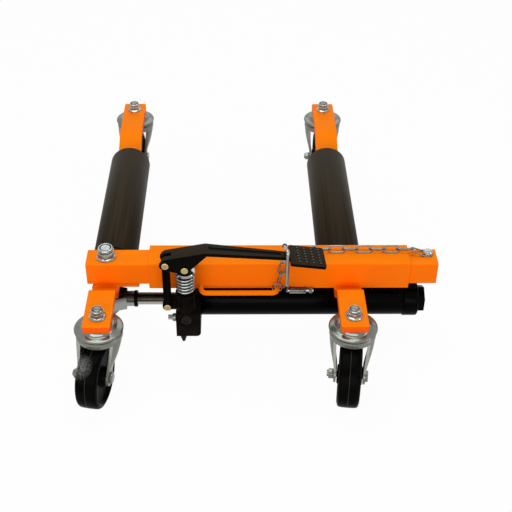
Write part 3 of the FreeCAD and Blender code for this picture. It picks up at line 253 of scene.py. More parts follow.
finishes = {
    "orange_paint": paint(
        "orange_paint", (0.97, 0.172, 0.002), (0.94, 0.162, 0.002), LIT_TOP_ORANGE,
        rough=(0.36, 0.44), peel=700.0, shine=0.03),
    "black_paint": paint(
        "black_paint", (0.0003, 0.0003, 0.0002), (0.0010, 0.0008, 0.0006),
        (0.0007, 0.0006, 0.0004), rough=(0.20, 0.32), peel=900.0, shine=0.022),
}
# The bars' sides are painted redder and darker as shade, and full=0.5 gives their sloped neck the
# lit top as painted light.
bar_orange = paint(
    "bar_orange", (0.92, 0.112, 0.0035), (0.90, 0.104, 0.0035), LIT_TOP_ORANGE,
    rough=(0.36, 0.44), peel=700.0, shine=0.03, full=0.5)
# Brown patches on the casting are painted highlights, and its lighter top is painted light.
cast_black = paint(
    "cast_black", (0.0003, 0.0003, 0.0002), (0.0070, 0.0046, 0.0034), (0.0040, 0.0029, 0.0022),
    rough=(0.20, 0.34), peel=300.0, shine=0.024, depth=0.00015, patch=38.0)
# The plug's brown is a painted highlight.
plug_brown = paint(
    "plug_brown", (0.0080, 0.0050, 0.0036), (0.024, 0.016, 0.012), (0.020, 0.014, 0.010),
    rough=(0.24, 0.36), peel=300.0, shine=0.05, depth=0.00012, patch=70.0)
# The pedal's rounded edges are painted pale as a highlight, palest where they look up.
edge_highlight_black = paint(
    "edge_highlight_black", (0.0030, 0.0024, 0.0016), (0.0060, 0.0048, 0.0032), (0.062, 0.048, 0.030),
    rough=(0.30, 0.42), peel=900.0, shine=0.05)
own_paints = [bar_orange.name, cast_black.name, plug_brown.name, edge_highlight_black.name]
print("paints:", list(finishes) + own_paints)

# %% [markdown]
# ## Dust and painted sheen on the pedal
# The pedal is the same black, greyed on top by shoes and dust and by a painted sheen. The share of
# a face that looks up is mixed over the black as a brown-grey, broken up by small scuffs.

# %% Mix the black with dust and painted sheen
DUST_AND_SHEEN_START = 0.55
PEDAL_COAT, PEDAL_DUST_AND_SHEEN = (0.0014, 0.0012, 0.0010), (0.022, 0.0165, 0.0095)
pedal_black, tree, shader = open_material("pedal_black", Specular_IOR_Level=0.028)
scuffs = use(tree, cloud_group, Scale=120.0, Detail=5.0, Low=0.2, High=0.6)
# What looks up gets dust and a painted sheen, broken up by scuffs.
dust_and_sheen = combine(tree, "MULTIPLY", facing_up(tree, DUST_AND_SHEEN_START), between(tree, scuffs, 0.7, 1.0))
tree.links.new(blend_colours(tree, dust_and_sheen, PEDAL_COAT, PEDAL_DUST_AND_SHEEN), shader.inputs["Base Color"])
tree.links.new(between(tree, scuffs, 0.42, 0.55), shader.inputs["Roughness"])
grain = use(tree, cloud_group, Scale=900.0, Detail=2.0, Low=0.25, High=0.75)
relief(tree, shader, grain, PAINT_PEEL)
print("dust from a slope of", DUST_AND_SHEEN_START)

# %% [markdown]
# ## Bare and plated metal
# Zinc plating is bright with cloudy patches where the bath ran. Ground steel shows fine lines
# along the way it was worked. Plating that has gone dull is less metallic than bright steel.

# %% Mix the metals
FINE_LINES = (200.0, 200.0, 200.0)
SCRATCH_DEPTH = 0.000002


def plated(name, colour, shade, rough, lines=FINE_LINES, metal=1.0):
    """Metal in two cloudy shades, with its shine broken by worked lines."""
    material, tree, shader = open_material(name, Metallic=metal)
    patches = use(tree, cloud_group, Scale=45.0, Detail=5.0, Low=0.3, High=0.7)
    scratches = use(tree, drawn_group, Stretch=lines, Detail=3.0, Low=0.3, High=0.7)
    tree.links.new(blend_colours(tree, patches, colour, shade), shader.inputs["Base Color"])
    tree.links.new(between(tree, scratches, *rough), shader.inputs["Roughness"])
    relief(tree, shader, scratches, SCRATCH_DEPTH)
    return material


finishes["zinc"] = plated("zinc", (0.185, 0.20, 0.172), (0.150, 0.162, 0.140), (0.12, 0.19),
                          (120.0, 120.0, 40.0), 0.65)
finishes["bare_steel"] = plated("bare_steel", (0.36, 0.35, 0.33), (0.28, 0.27, 0.25),
                                (0.18, 0.28), (900.0, 60.0, 60.0))
finishes["spring_steel"] = plated("spring_steel", (0.34, 0.355, 0.34), (0.28, 0.29, 0.28),
                                  (0.10, 0.16))
finishes["yellow_zinc"] = plated("yellow_zinc", (0.46, 0.43, 0.15), (0.42, 0.33, 0.16),
                                 (0.24, 0.36))
bright_zinc = plated("bright_zinc", (0.32, 0.345, 0.32), (0.225, 0.245, 0.225), (0.09, 0.15),
                     metal=0.95)
nut_zinc = plated("nut_zinc", (0.43, 0.465, 0.445), (0.20, 0.22, 0.21), (0.08, 0.14),
                  metal=0.85)
chain_zinc = plated("chain_zinc", (0.215, 0.23, 0.215), (0.13, 0.14, 0.13), (0.09, 0.15),
                    metal=0.95)
pressed_zinc = plated("pressed_zinc", (0.200, 0.200, 0.172), (0.172, 0.172, 0.150),
                      (0.28, 0.38), (60.0, 60.0, 60.0), 0.4)
oiled_steel = plated("oiled_steel", (0.012, 0.011, 0.010), (0.02, 0.018, 0.016),
                     (0.34, 0.45), (60.0, 60.0, 400.0))
copper_zinc = plated("copper_zinc", (0.55, 0.20, 0.17), (0.48, 0.24, 0.17), (0.26, 0.38))
print(len(finishes), "finishes for slots so far")

# %% [markdown]
# ## Metal with painted reflections
# The rod, its end and the hook's sleeve are painted dark where they look up, a painted reflection
# of the dark frame above, while the underside is painted bright as a reflection of the pale floor.

# %% Mix the metals with painted reflections
REFLECTION_START, REFLECTION_FULL = 0.04, 0.22
REFLECTION_SPREAD = 2.0


def painted_reflection_metal(name, top, under, rough):
    """Bright metal, painted dark where it looks up as a painted reflection."""
    material, tree, shader = open_material(name, Metallic=1.0)
    scratches = use(tree, drawn_group, Stretch=(900.0, 60.0, 60.0), Detail=3.0, Low=0.3, High=0.7)
    reflection_blotches = use(tree, cloud_group, Scale=160.0, Detail=5.0, Low=0.2, High=0.8)
    painted_dark_reflection = blend_colours(tree, reflection_blotches, top, tuple(value * REFLECTION_SPREAD for value in top))
    coat = blend_colours(tree, facing_up(tree, REFLECTION_START, REFLECTION_FULL), under, painted_dark_reflection)
    tree.links.new(coat, shader.inputs["Base Color"])
    tree.links.new(between(tree, scratches, *rough), shader.inputs["Roughness"])
    relief(tree, shader, scratches, SCRATCH_DEPTH)
    return material


# Dark tops and bright undersides are painted reflections of the frame above and the floor below.
ram_chrome = painted_reflection_metal("ram_chrome", (0.016, 0.013, 0.011), (0.38, 0.35, 0.33), (0.12, 0.20))
rod_end_steel = painted_reflection_metal("rod_end_steel", (0.022, 0.021, 0.018), (0.30, 0.30, 0.285), (0.28, 0.40))
sleeve_steel = painted_reflection_metal("sleeve_steel", (0.060, 0.055, 0.049), (0.24, 0.22, 0.20), (0.20, 0.30))
print("oiled:", ram_chrome.name, rod_end_steel.name, sleeve_steel.name)

# %% [markdown]
# ## Rollers, tyres and studs
# The rollers are dark brown-black steel with long pale lines along them, painted highlights, and
# the tyres are hard black rubber. The studs of the foot pad are black too, with crowns that shoes
# have polished.


# %% Mix the dark finishes
def dark(name, colour, shade, rough, stretch, depth, shine):
    """Two dark shades in lines, over a fine grain."""
    material, tree, shader = open_material(name, Specular_IOR_Level=shine)
    lines = use(tree, drawn_group, Stretch=stretch, Detail=4.0, Low=0.38, High=0.72)
    grain = use(tree, cloud_group, Scale=650.0, Detail=2.0, Low=0.3, High=0.7)
    tree.links.new(blend_colours(tree, lines, colour, shade), shader.inputs["Base Color"])
    tree.links.new(between(tree, lines, *rough), shader.inputs["Roughness"])
    relief(tree, shader, grain, depth)
    return material


# Pale streaks along the rollers are painted highlights.
finishes["roller_black"] = dark(
    "roller_black", (0.0165, 0.0115, 0.0052), (0.031, 0.023, 0.0125),
    rough=(0.36, 0.50), stretch=(160.0, 5.0, 160.0), depth=0.00005, shine=0.03)
finishes["bush_plastic"] = dark(
    "bush_plastic", (0.006, 0.006, 0.005), (0.010, 0.010, 0.009),
    rough=(0.45, 0.55), stretch=(90.0, 90.0, 90.0), depth=0.00004, shine=0.15)
finishes["wheel_black"] = dark(
    "wheel_black", (0.0010, 0.0010, 0.0008), (0.0035, 0.0033, 0.0028),
    rough=(0.26, 0.42), stretch=(60.0, 60.0, 60.0), depth=0.00005, shine=0.012)
stud_black = dark(
    "stud_black", (0.0010, 0.0009, 0.0008), (0.0020, 0.0017, 0.0013),
    rough=(0.22, 0.34), stretch=FINE_LINES, depth=0.00003, shine=0.03)
stud_gloss = dark(
    "stud_gloss", (0.0006, 0.0005, 0.0004), (0.0012, 0.0010, 0.0008),
    rough=(0.10, 0.18), stretch=FINE_LINES, depth=0.00002, shine=0.60)
mould_line = dark(
    "mould_line", (0.040, 0.027, 0.019), (0.024, 0.017, 0.012),
    rough=(0.4, 0.55), stretch=(300.0, 300.0, 300.0), depth=0.00004, shine=0.10)
print("all finishes for slots:", list(finishes))

# %% [markdown]
# ## A painted glare on a tyre
# The front left tyre has a pale patch painted on it as a glare of light. A round gradient about
# that spot, in metres, is broken up by drawn lines and mixed over the black.

# %% Paint the glare on the tyre
GLARE_SPOT = Vector((-265.0, -350.0, 91.0)) * MM
GLARE_REACH = 21.0 * MM
GLARE_GREY = (0.30, 0.30, 0.29)
tree = finishes["wheel_black"].node_tree
base = tree.nodes["Principled BSDF"].inputs["Base Color"]
coordinates = add(tree, "ShaderNodeTexCoord").outputs["Object"]
spot = add(tree, "ShaderNodeMapping", {
    "Vector": coordinates, "Location": GLARE_SPOT, "Scale": (GLARE_REACH,) * 3},
    vector_type="TEXTURE")
fading = add(tree, "ShaderNodeTexGradient", {"Vector": spot.outputs["Vector"]},
             gradient_type="SPHERICAL")
streaks = use(tree, drawn_group, Stretch=(420.0, 420.0, 160.0), Detail=4.0, Low=0.30, High=0.75)
# The pale patch is a painted glare of light.
painted_glare = combine(tree, "MULTIPLY", fading.outputs["Fac"], streaks)
rubber = base.links[0].from_socket
tree.links.new(blend_colours(tree, painted_glare, rubber, GLARE_GREY), base)
print("rubbed patch", round(GLARE_REACH / MM), "mm")

# %% Give every solid its finish
own_finish = {
    "pedal_lever": pedal_black, "foot_pad": pedal_black, "ram_rod": ram_chrome,
    "rod_end": rod_end_steel, "hook_sleeve": sleeve_steel, "lock_hook": bright_zinc,
    "safety_chain": chain_zinc, "chain_rings": chain_zinc, "chain_bolt": nut_zinc,
    "pump_block": cast_black, "pump_plug": plug_brown,
}
own_finish.update({node: pressed_zinc for node in nodes if node.endswith("_fork")})
own_finish.update({node: bar_orange for node in nodes if node.endswith("_arm")})
for node, obj in nodes.items():
    obj.data.materials.clear()
    obj.data.materials.append(own_finish.get(node) or finishes[slot_of[node]])
print(len(finishes), "finishes for slots,", len(own_finish), "solids with their own")

# %% [markdown]
# ## Helpers for pieces
# Round pieces are turned: a half profile is spun about an axis, the way a lathe would cut it.
# Flat and cast pieces start from their CAD solid. The copy is merged, its flat faces are joined
# again, and its sharp edges are rounded, because real edges always catch a thin line of light.

# %% Turn, copy and round
TURNED_MERGE, COPIED_MERGE = 1e-6, 2e-6
FLAT_ANGLE = math.radians(0.6)
FOLD_ANGLE = math.radians(30.0)
ROUNDING_STEPS = 2


def lathe(profile, steps=72, closed=False):
    """A form spun about Z from a half profile of (radius, height) in millimetres."""
    form = bmesh.new()
    spots = [form.verts.new((radius * MM, 0.0, height * MM)) for radius, height in profile]
    ends = spots[1:] + spots[:1] if closed else spots[1:]
    runs = [form.edges.new(pair) for pair in zip(spots, ends)]
    bmesh.ops.spin(form, geom=spots + runs, cent=(0, 0, 0), axis=(0, 0, 1),
                   angle=math.tau, steps=steps, use_merge=True)
    bmesh.ops.remove_doubles(form, verts=form.verts, dist=TURNED_MERGE)
    bmesh.ops.recalc_face_normals(form, faces=form.faces)
    return form


def copy_of(node):
    """A merged copy of a CAD solid with its flat faces joined again."""
    form = bmesh.new()
    form.from_mesh(nodes[node].data)
    bmesh.ops.remove_doubles(form, verts=form.verts, dist=COPIED_MERGE)
    bmesh.ops.dissolve_limit(form, angle_limit=FLAT_ANGLE, verts=form.verts, edges=form.edges)
    return form


def ease(form, width, edge_finish=0):
    """Round the edges that fold sharply; the rounding may get a finish of its own."""
    sharp = [edge for edge in form.edges
             if len(edge.link_faces) == 2 and edge.calc_face_angle() > FOLD_ANGLE]
    rounding = bmesh.ops.bevel(
        form, geom=sharp, offset=width * MM, offset_type="OFFSET", segments=ROUNDING_STEPS,
        profile=0.5, affect="EDGES", clamp_overlap=True, material=-1)
    for face in rounding["faces"]:
        face.material_index = edge_finish
    return form


# %% Join, move and show
SHARP_ANGLE = 34.0


def merged(*forms):
    """Several forms as one."""
    whole = bmesh.new()
    for form in forms:
        passing = bpy.data.meshes.new("passing")
        form.to_mesh(passing)
        form.free()
        whole.from_mesh(passing)
        bpy.data.meshes.remove(passing)
    return whole


def moved(form, matrix):
    """The same form in another place."""
    bmesh.ops.transform(form, matrix=matrix, verts=form.verts)
    return form


def raised(height):
    """A move straight up in millimetres."""
    return Matrix.Translation((0, 0, height * MM))


def upright_axis(node):
    """Puts a form that was turned about Z on the middle line of a solid."""
    low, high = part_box(node)
    return Matrix.Translation(((low[0] + high[0]) / 2, (low[1] + high[1]) / 2, 0))


def show(name, form, body, slot, finish=None, stands_for=(), sharp=SHARP_ANGLE):
    """Turn a form into a finished piece on its body."""
    mesh = bpy.data.meshes.new(name)
    form.to_mesh(mesh)
    form.free()
    mesh.shade_smooth()
    mesh.set_sharp_from_angle(angle=math.radians(sharp))
    mesh.materials.append(finish or finishes[slot])
    piece = bpy.data.objects.new(name, mesh)
    bpy.context.scene.collection.objects.link(piece)
    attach(piece, body)
    if stands_for:
        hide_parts(*stands_for)
    return piece


# %% [markdown]
# ## Softened frame and castings
# Bars, tubes, castings and pressings keep their CAD shape and only lose their knife edges. Cast
# pieces get the widest rounding, small turned ones a narrow one. The rounded edges of the pedal
# are painted pale as a highlight.

# %% Round the edges of the solids
SOFT_EDGES = {
    "outer_tube": 0.7, "inner_tube": 0.7, "end_stub": 0.7, "pad_plate": 0.8,
    "left_front_arm": 0.9, "right_front_arm": 0.9, "left_rear_arm": 0.9, "right_rear_arm": 0.9,
    "ram_cylinder": 0.8, "ram_end_cap": 0.8, "ram_end_plug": 1.0, "ram_lug": 0.9,
    "rod_lock_ring": 0.6, "rod_end": 1.2, "pump_block": 1.2, "pump_plug": 0.6,
    "release_valve": 0.6, "pedal_lever": 0.8, "foot_pad": 0.9, "pump_link": 0.7,
    "link_top_pin": 0.7, "link_bottom_pin": 0.7, "plunger_pin": 0.7, "hook_sleeve": 0.5,
    "hook_nut": 0.4, "chain_bolt": 0.5, "left_roller": 1.0, "right_roller": 1.0,
    "left_roller_bushes": 0.5, "right_roller_bushes": 0.5,
}
# The rounded edges of these pieces take the painted highlight.
HIGHLIT_EDGES = ("pedal_lever", "foot_pad")
COAT, EDGE_HIGHLIGHT, STUD, CROWN = range(4)  # the finishes of a pedal piece, in order
for node, width in SOFT_EDGES.items():
    form = ease(copy_of(node), width, EDGE_HIGHLIGHT if node in HIGHLIT_EDGES else COAT)
    piece = show(f"{node}_soft", form, body_of[node], slot_of[node],
                 own_finish.get(node), (node,))
    if node in HIGHLIT_EDGES:
        piece.data.materials.append(edge_highlight_black)
print(len(SOFT_EDGES), "solids softened")

# %% [markdown]
# ## Studs, groove and pin heads
# Some softened pieces carry more finishes. The pad's rubber studs stand above its deck and are
# dark with shiny crowns, and the groove pressed into the lever is painted black as shade. Both are
# found by how far a face lies above or below the deck. The link's pins have a coppery face in the
# rim.

# %% Find the studs and the groove
LEVEL = 0.5
STUD_RISE, CROWN_SHARE = 0.2, 0.9
GROOVE_START, GROOVE_TOP, GROOVE_FLOOR = -80.0, -0.5, -3.0


def deck_of(faces):
    """The largest face that looks up."""
    return max((face for face in faces if face.normal.z > LEVEL), key=lambda face: face.area)


def rise_over(deck, face):
    """How far a face lies above the deck, in millimetres."""
    return (face.center - deck.center).dot(deck.normal) / MM


pad_mesh = bpy.data.objects["foot_pad_soft"].data
pad_mesh.materials.append(stud_black)
pad_mesh.materials.append(stud_gloss)
deck = deck_of(pad_mesh.polygons)
rises = [rise_over(deck, face) for face in pad_mesh.polygons]
crown_rise = CROWN_SHARE * max(rises)
for face, rise in zip(pad_mesh.polygons, rises):
    if rise > STUD_RISE:
        face.material_index = CROWN if rise > crown_rise else STUD

lever_mesh = bpy.data.objects["pedal_lever_soft"].data
lever_mesh.materials.append(stud_black)
arm = [face for face in lever_mesh.polygons
       if face.normal.z > LEVEL and face.center.x > GROOVE_START * MM]
deck = deck_of(arm)
# The groove's faces are painted black as shade in the recess.
for face in arm:
    if GROOVE_FLOOR < rise_over(deck, face) < GROOVE_TOP:
        face.material_index = STUD
print("studs", round(max(rises), 2), "mm high")

# %% Rim the pin heads
PIN_RIM, HEAD_DEPTH = 1.5, 0.1
ACROSS = 0.99
for node in ("link_top_pin", "link_bottom_pin"):
    pin_mesh = bpy.data.objects[f"{node}_soft"].data
    pin_mesh.materials.append(copper_zinc)
    form = bmesh.new()
    form.from_mesh(pin_mesh)
    reach = {face: abs(face.calc_center_median().y) for face in form.faces
             if abs(face.normal.y) > ACROSS}
    outermost = max(reach.values())
    heads = [face for face in reach if reach[face] > outermost - HEAD_DEPTH * MM]
    bmesh.ops.inset_region(form, faces=heads, thickness=PIN_RIM * MM, use_even_offset=True)
    for face in heads:
        face.material_index = 1
    form.to_mesh(pin_mesh)
    form.free()
print("2 pins rimmed")

# %% [markdown]
# ## Castors
# Each castor turns under a pressed race with a threaded stud, and its wheel is a moulded rubber
# tyre on a dished centre. All of these are turned shapes. The joints in the record say where each
# castor stands and which way its axle points.

# %% Find the castors
ENDS = ("front", "rear")
CORNERS = [f"{end}_{side}" for end in ENDS for side in ("left", "right")]
joint_of = {joint["name"]: joint for joint in record["behaviour"]["joints"]}


def stud_place(corner):
    """Puts a form that was turned about Z on the castor's stud."""
    return Matrix.Translation(Vector(joint_of[f"{corner}_swivel"]["pos_m"]))


def axle_place(corner):
    """Puts a form that was turned about Z on the wheel's axle."""
    joint = joint_of[f"{corner}_roll"]
    facing = Vector(joint["axis"]).to_track_quat("Z", "Y").to_matrix().to_4x4()
    return Matrix.Translation(Vector(joint["pos_m"])) @ facing


print([tuple(round(v, 3) for v in stud_place(corner).translation) for corner in CORNERS])

# %% Turn the wheels
WHEEL_STEPS = 96
WHEEL_SIDE = [(5.05, 19.2), (13.6, 19.2), (14.6, 18.4), (15.4, 14.0), (17.2, 11.6), (20.0, 11.0),
              (34.0, 11.0), (37.6, 11.8), (40.2, 14.6), (41.4, 16.2), (42.2, 16.6), (43.0, 17.0),
              (43.8, 16.7), (44.2, 16.2), (46.2, 16.0), (47.8, 15.2), (49.0, 13.6), (49.6, 11.4),
              (49.85, 7.0), (49.94, 2.0)]
SEAM = [(49.6, -0.5), (50.0, -0.35), (50.0, 0.35), (49.6, 0.5)]
LIP = [(42.4, 16.5), (42.7, 17.05), (43.3, 17.05), (43.6, 16.5)]


def far_side(profile):
    """The same profile on the other side of the wheel."""
    return [(radius, -height) for radius, height in reversed(profile)]


for corner in CORNERS:
    body = f"{corner}_wheel_body"
    wheel = lathe(WHEEL_SIDE + far_side(WHEEL_SIDE), WHEEL_STEPS, closed=True)
    show(f"{corner}_tyre", moved(wheel, axle_place(corner)), body, "wheel_black",
         None, (f"{corner}_wheel",))
    lines = merged(*(lathe(profile, WHEEL_STEPS, closed=True)
                     for profile in (SEAM, LIP, far_side(LIP))))
    show(f"{corner}_mould_lines", moved(lines, axle_place(corner)), body, "wheel_black",
         mould_line)
print("4 wheels with", 2 * len(WHEEL_SIDE), "profile points")

# %% Turn the races, their studs and dark shade rings
RACE_PLATE = [(0.0, 95.5), (11.2, 95.5), (12.0, 96.4), (12.0, 100.3), (8.0, 100.3), (8.0, 111.4),
              (31.5, 111.4), (32.0, 113.8), (35.6, 113.8), (36.8, 114.2), (37.3, 115.2),
              (37.0, 116.3), (35.8, 117.3), (33.8, 117.9), (29.4, 118.5), (27.4, 119.3),
              (26.0, 121.0), (24.8, 123.4), (23.4, 124.7), (21.8, 125.0)]
STUD_SHANK = [(6.0, 125.0), (6.0, 147.0)]
STUD_END = [(5.2, 152.8), (4.4, 153.0), (0.0, 153.0)]
# A dark ring in the gap under the race's rim is painted shade above the crown.
SHADE_RING = [(32.0, 111.5), (34.9, 111.5), (35.2, 111.9), (35.2, 113.75), (32.1, 113.75)]
THREAD_LOW, THREAD_PITCH, THREAD_TURNS = 147.0, 1.1, 5
ROOT, CREST = 5.5, 6.0
thread = []
for turn in range(THREAD_TURNS):
    low = THREAD_LOW + turn * THREAD_PITCH
    thread += [(ROOT, low + 0.3), (ROOT, low + 0.5), (CREST, low + 0.8), (CREST, low + 1.0)]
for corner in CORNERS:
    body = body_of[f"{corner}_race"]
    race = moved(lathe(RACE_PLATE + STUD_SHANK + thread + STUD_END), stud_place(corner))
    show(f"{corner}_top_race", race, body, "zinc", None, (f"{corner}_race",))
    shade_ring = moved(lathe(SHADE_RING, closed=True), stud_place(corner))
    show(f"{corner}_seal", shade_ring, body, "bush_plastic")
print("4 races with", THREAD_TURNS, "threads each")

# %% [markdown]
# ## Lock nuts
# A flange spreads the load, a hexagon takes the spanner, and the collar on top holds a plastic
# ring that bites on the thread, coloured dark as painted shade in the collar. One recipe serves
# the castors and the anchor bolt.

# %% Build the flanged lock nuts
CASTOR_NUT = {"bore": 6.05, "flange": 12.9, "flats": 19.0, "height": 15.0}
PLATE_TOP = 137.0
HEXAGON = 6
HEXAGON_LOW, HEXAGON_EDGE = 2.6, 0.5


def hexagon(flats, low, high):
    """An upright hexagon given across its flats, with rounded edges."""
    form = bmesh.new()
    radius = flats / 2 / math.cos(math.pi / HEXAGON) * MM
    bmesh.ops.create_cone(form, cap_ends=True, segments=HEXAGON, radius1=radius, radius2=radius,
                          depth=(high - low) * MM, matrix=raised((low + high) / 2))
    return ease(form, HEXAGON_EDGE)


def lock_nut(bore, flange, flats, height):
    """Flange, hexagon and the rolled collar that grips the thread."""
    skirt = lathe([(bore, 0.0), (flange - 0.4, 0.0), (flange, 0.5), (flange, 1.6),
                   (flange - 1.0, 2.6), (flats / 2 - 0.4, 4.0), (bore, 4.0)], closed=True)
    faces = hexagon(flats, HEXAGON_LOW, height * 0.66)
    outer = flats / 2 - 0.3
    collar = lathe([(bore, height * 0.64), (outer - 1.5, height * 0.64),
                    (outer - 1.5, height * 0.70), (outer - 0.2, height * 0.72),
                    (outer, height * 0.74), (outer, height * 0.88), (outer - 0.5, height * 0.95),
                    (outer - 1.2, height), (bore + 1.5, height), (bore + 1.3, height * 0.98),
                    (bore + 1.3, height * 0.90), (bore, height * 0.90)], closed=True)
    return merged(skirt, faces, collar)


def collar_shade_ring(bore, height):
    """The plastic ring in the collar, coloured dark as painted shade."""
    return lathe([(bore, height * 0.90), (bore + 1.25, height * 0.90),
                  (bore + 1.25, height * 0.975), (bore, height * 0.965)], closed=True)


for side, body in (("left", "left_frame"), ("right", "right_frame")):
    seats = [stud_place(f"{end}_{side}") @ raised(PLATE_TOP) for end in ENDS]
    nuts = [moved(lock_nut(**CASTOR_NUT), seat) for seat in seats]
    collar_shade_rings = [moved(collar_shade_ring(CASTOR_NUT["bore"], CASTOR_NUT["height"]), seat)
               for seat in seats]
    show(f"{side}_lock_shade_rings", merged(*collar_shade_rings), body, "bush_plastic")
    show(f"{side}_lock_nuts", merged(*nuts), body, "zinc", nut_zinc, (f"{side}_castor_nuts",))
print("4 lock nuts")

# %% Soften the axles
AXLE_EDGE = 0.7
for corner in CORNERS:
    axle = ease(copy_of(f"{corner}_axle"), AXLE_EDGE)
    show(f"{corner}_axle_soft", axle, f"{corner}_swivel_body", "zinc", None, (f"{corner}_axle",))
print("4 axles")

# %% [markdown]
# ## The anchor bolt
# One big bolt ties the ram's rod to the sliding half of the frame. Its lock nut sits on top of the
# tube, so the same nut is built again in a larger size around a long shank.

# %% Build the anchor bolt
ANCHOR_NUT = {"bore": 8.05, "flange": 15.5, "flats": 24.5, "height": 18.5}
ANCHOR_SEAT = 161.0
ANCHOR_RADIUS = 8.0
anchor_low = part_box("anchor_bolt")[0][2] / MM
anchor_top = ANCHOR_SEAT + ANCHOR_NUT["height"]
anchor_axis = upright_axis("anchor_bolt")
anchor_nut = moved(lock_nut(**ANCHOR_NUT), raised(ANCHOR_SEAT))
anchor_shank = lathe([(0.0, anchor_low), (ANCHOR_RADIUS - 1.0, anchor_low),
                      (ANCHOR_RADIUS, anchor_low + 1.2), (ANCHOR_RADIUS, anchor_top - 1.4),
                      (ANCHOR_RADIUS - 0.8, anchor_top - 0.5), (0.0, anchor_top - 0.2)])
anchor = moved(merged(anchor_nut, anchor_shank), anchor_axis)
anchor_shade_ring = collar_shade_ring(ANCHOR_NUT["bore"], ANCHOR_NUT["height"])
show("anchor_shade_ring", moved(anchor_shade_ring, anchor_axis @ raised(ANCHOR_SEAT)),
     "left_frame", "bush_plastic")
show("anchor_bolt_and_nut", anchor, "left_frame", "zinc", nut_zinc, ("anchor_bolt",))
print("anchor bolt up to", anchor_top, "mm")

# %% [markdown]
# ## Plunger and return spring
# The plunger's stem is dark and oiled, and its collar is bright, so it is shown as two pieces. The
# spring is a circle of wire spun with a step upwards, which makes a coil. It rides on the pump
# casting.

# %% Turn the plunger
COLLAR_LOW, COLLAR_SEAT, COLLAR_TOP = 167.5, 168.0, 172.5
STEM_RADIUS, STEM_LOW = 9.0, 70.0
TONGUE_SIZE, TONGUE_MIDDLE, TONGUE_EDGE = (15.0, 18.6, 18.0), 181.5, 0.8
plunger_axis = upright_axis("plunger")
collar = lathe([(9.2, COLLAR_LOW), (14.6, COLLAR_LOW), (15.5, COLLAR_LOW + 0.9),
                (15.5, COLLAR_TOP - 0.9), (14.6, COLLAR_TOP), (0.0, COLLAR_TOP),
                (0.0, COLLAR_SEAT), (9.2, COLLAR_SEAT)], closed=True)
show("spring_collar", moved(collar, plunger_axis), "plunger_body", "spring_steel")
stem = lathe([(0.0, STEM_LOW), (STEM_RADIUS - 0.6, STEM_LOW), (STEM_RADIUS, STEM_LOW + 0.8),
              (STEM_RADIUS, COLLAR_SEAT), (0.0, COLLAR_SEAT)])
tongue = bmesh.new()
bmesh.ops.create_cube(tongue, size=1.0)
bmesh.ops.scale(tongue, vec=Vector(TONGUE_SIZE) * MM, verts=tongue.verts)
plunger = merged(stem, ease(moved(tongue, raised(TONGUE_MIDDLE)), TONGUE_EDGE))
show("plunger_stem", moved(plunger, plunger_axis), "plunger_body", "bare_steel", oiled_steel,
     ("plunger",))
print("plunger up to", TONGUE_MIDDLE + TONGUE_SIZE[2] / 2, "mm")

# %% Wind the spring
SPRING_SEAT = 132.0
COIL_RADIUS, WIRE_RADIUS, COILS = 12.8, 1.75, 5.5
COIL_STEPS, WIRE_SIDES = 36, 12
COIL_MARGIN = 1.95
coil = bmesh.new()
wire_start = (Matrix.Translation((COIL_RADIUS * MM, 0, (SPRING_SEAT + COIL_MARGIN) * MM))
              @ Matrix.Rotation(math.pi / 2, 4, "X"))
section = bmesh.ops.create_circle(coil, segments=WIRE_SIDES, radius=WIRE_RADIUS * MM,
                                  matrix=wire_start)
rim = list({edge for vert in section["verts"] for edge in vert.link_edges})
steps = round(COILS * COIL_STEPS)
climb = (COLLAR_LOW - SPRING_SEAT - 2 * COIL_MARGIN) * MM / steps
bmesh.ops.spin(coil, geom=section["verts"] + rim, cent=(0, 0, 0), axis=(0, 0, 1),
               angle=math.tau * COILS, steps=steps, dvec=(0, 0, climb), use_merge=False)
ends = [edge for edge in coil.edges if len(edge.link_faces) == 1]
bmesh.ops.holes_fill(coil, edges=ends, sides=0)
bmesh.ops.recalc_face_normals(coil, faces=coil.faces)
spring = show("return_spring_coil", moved(coil, plunger_axis), "right_frame", "spring_steel",
              None, ("return_spring",), sharp=60.0)
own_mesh(spring)
print("spring of", len(spring.data.polygons), "faces")

# %% [markdown]
# ## Welds
# The frame is welded: bars under the tubes, the handle and the hook's sleeve on the front of the
# beam. A bead is a row of small drops that overlap, and it is painted over.

# %% Shape the weld beads
BEAD_STEP, RING_STEP = 0.85, 0.9


def drop(form, spot, size):
    """One drop of weld at a point in millimetres."""
    bmesh.ops.create_uvsphere(form, u_segments=10, v_segments=6, radius=size * MM,
                              matrix=Matrix.Translation(spot * MM))


def bead(start, end, size):
    """A row of overlapping drops between two points in millimetres."""
    run = Vector(end) - Vector(start)
    count = max(2, round(run.length / (size * BEAD_STEP)))
    form = bmesh.new()
    for step in range(count + 1):
        drop(form, Vector(start) + run * (step / count), size)
    return form


def ring_of_drops(centre, radius, size):
    """A closed bead in the upright plane of the beam's front."""
    form = bmesh.new()
    count = round(math.tau * radius / (size * RING_STEP))
    for step in range(count):
        angle = math.tau * step / count
        drop(form, Vector(centre) + Vector((math.cos(angle), 0, math.sin(angle))) * radius, size)
    return form


def bead_along(node, inset, y, z, size):
    """A bead along the width of a solid, kept back from its sides."""
    low, high = (corner[0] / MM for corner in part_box(node))
    return bead((low + inset, y, z), (high - inset, y, z), size)


# %% Lay the weld beads
OUTER_FACES, INNER_FACES = (-200.7, -150.7), (-195.7, -155.7)
BEAM_FRONT = OUTER_FACES[0]
BAR_TOP = 116.0
BAR_INSET, OUTER_BEAD, INNER_BEAD = 1.0, 2.0, 1.8
HANDLE_ENDS, HANDLE_Z, HANDLE_RING, HANDLE_DROP = (-89.3, 29.7), 124.0, 4.3, 1.1
SLEEVE_INSET, SLEEVE_Z, SLEEVE_BEAD = 3.0, 120.6, 1.3

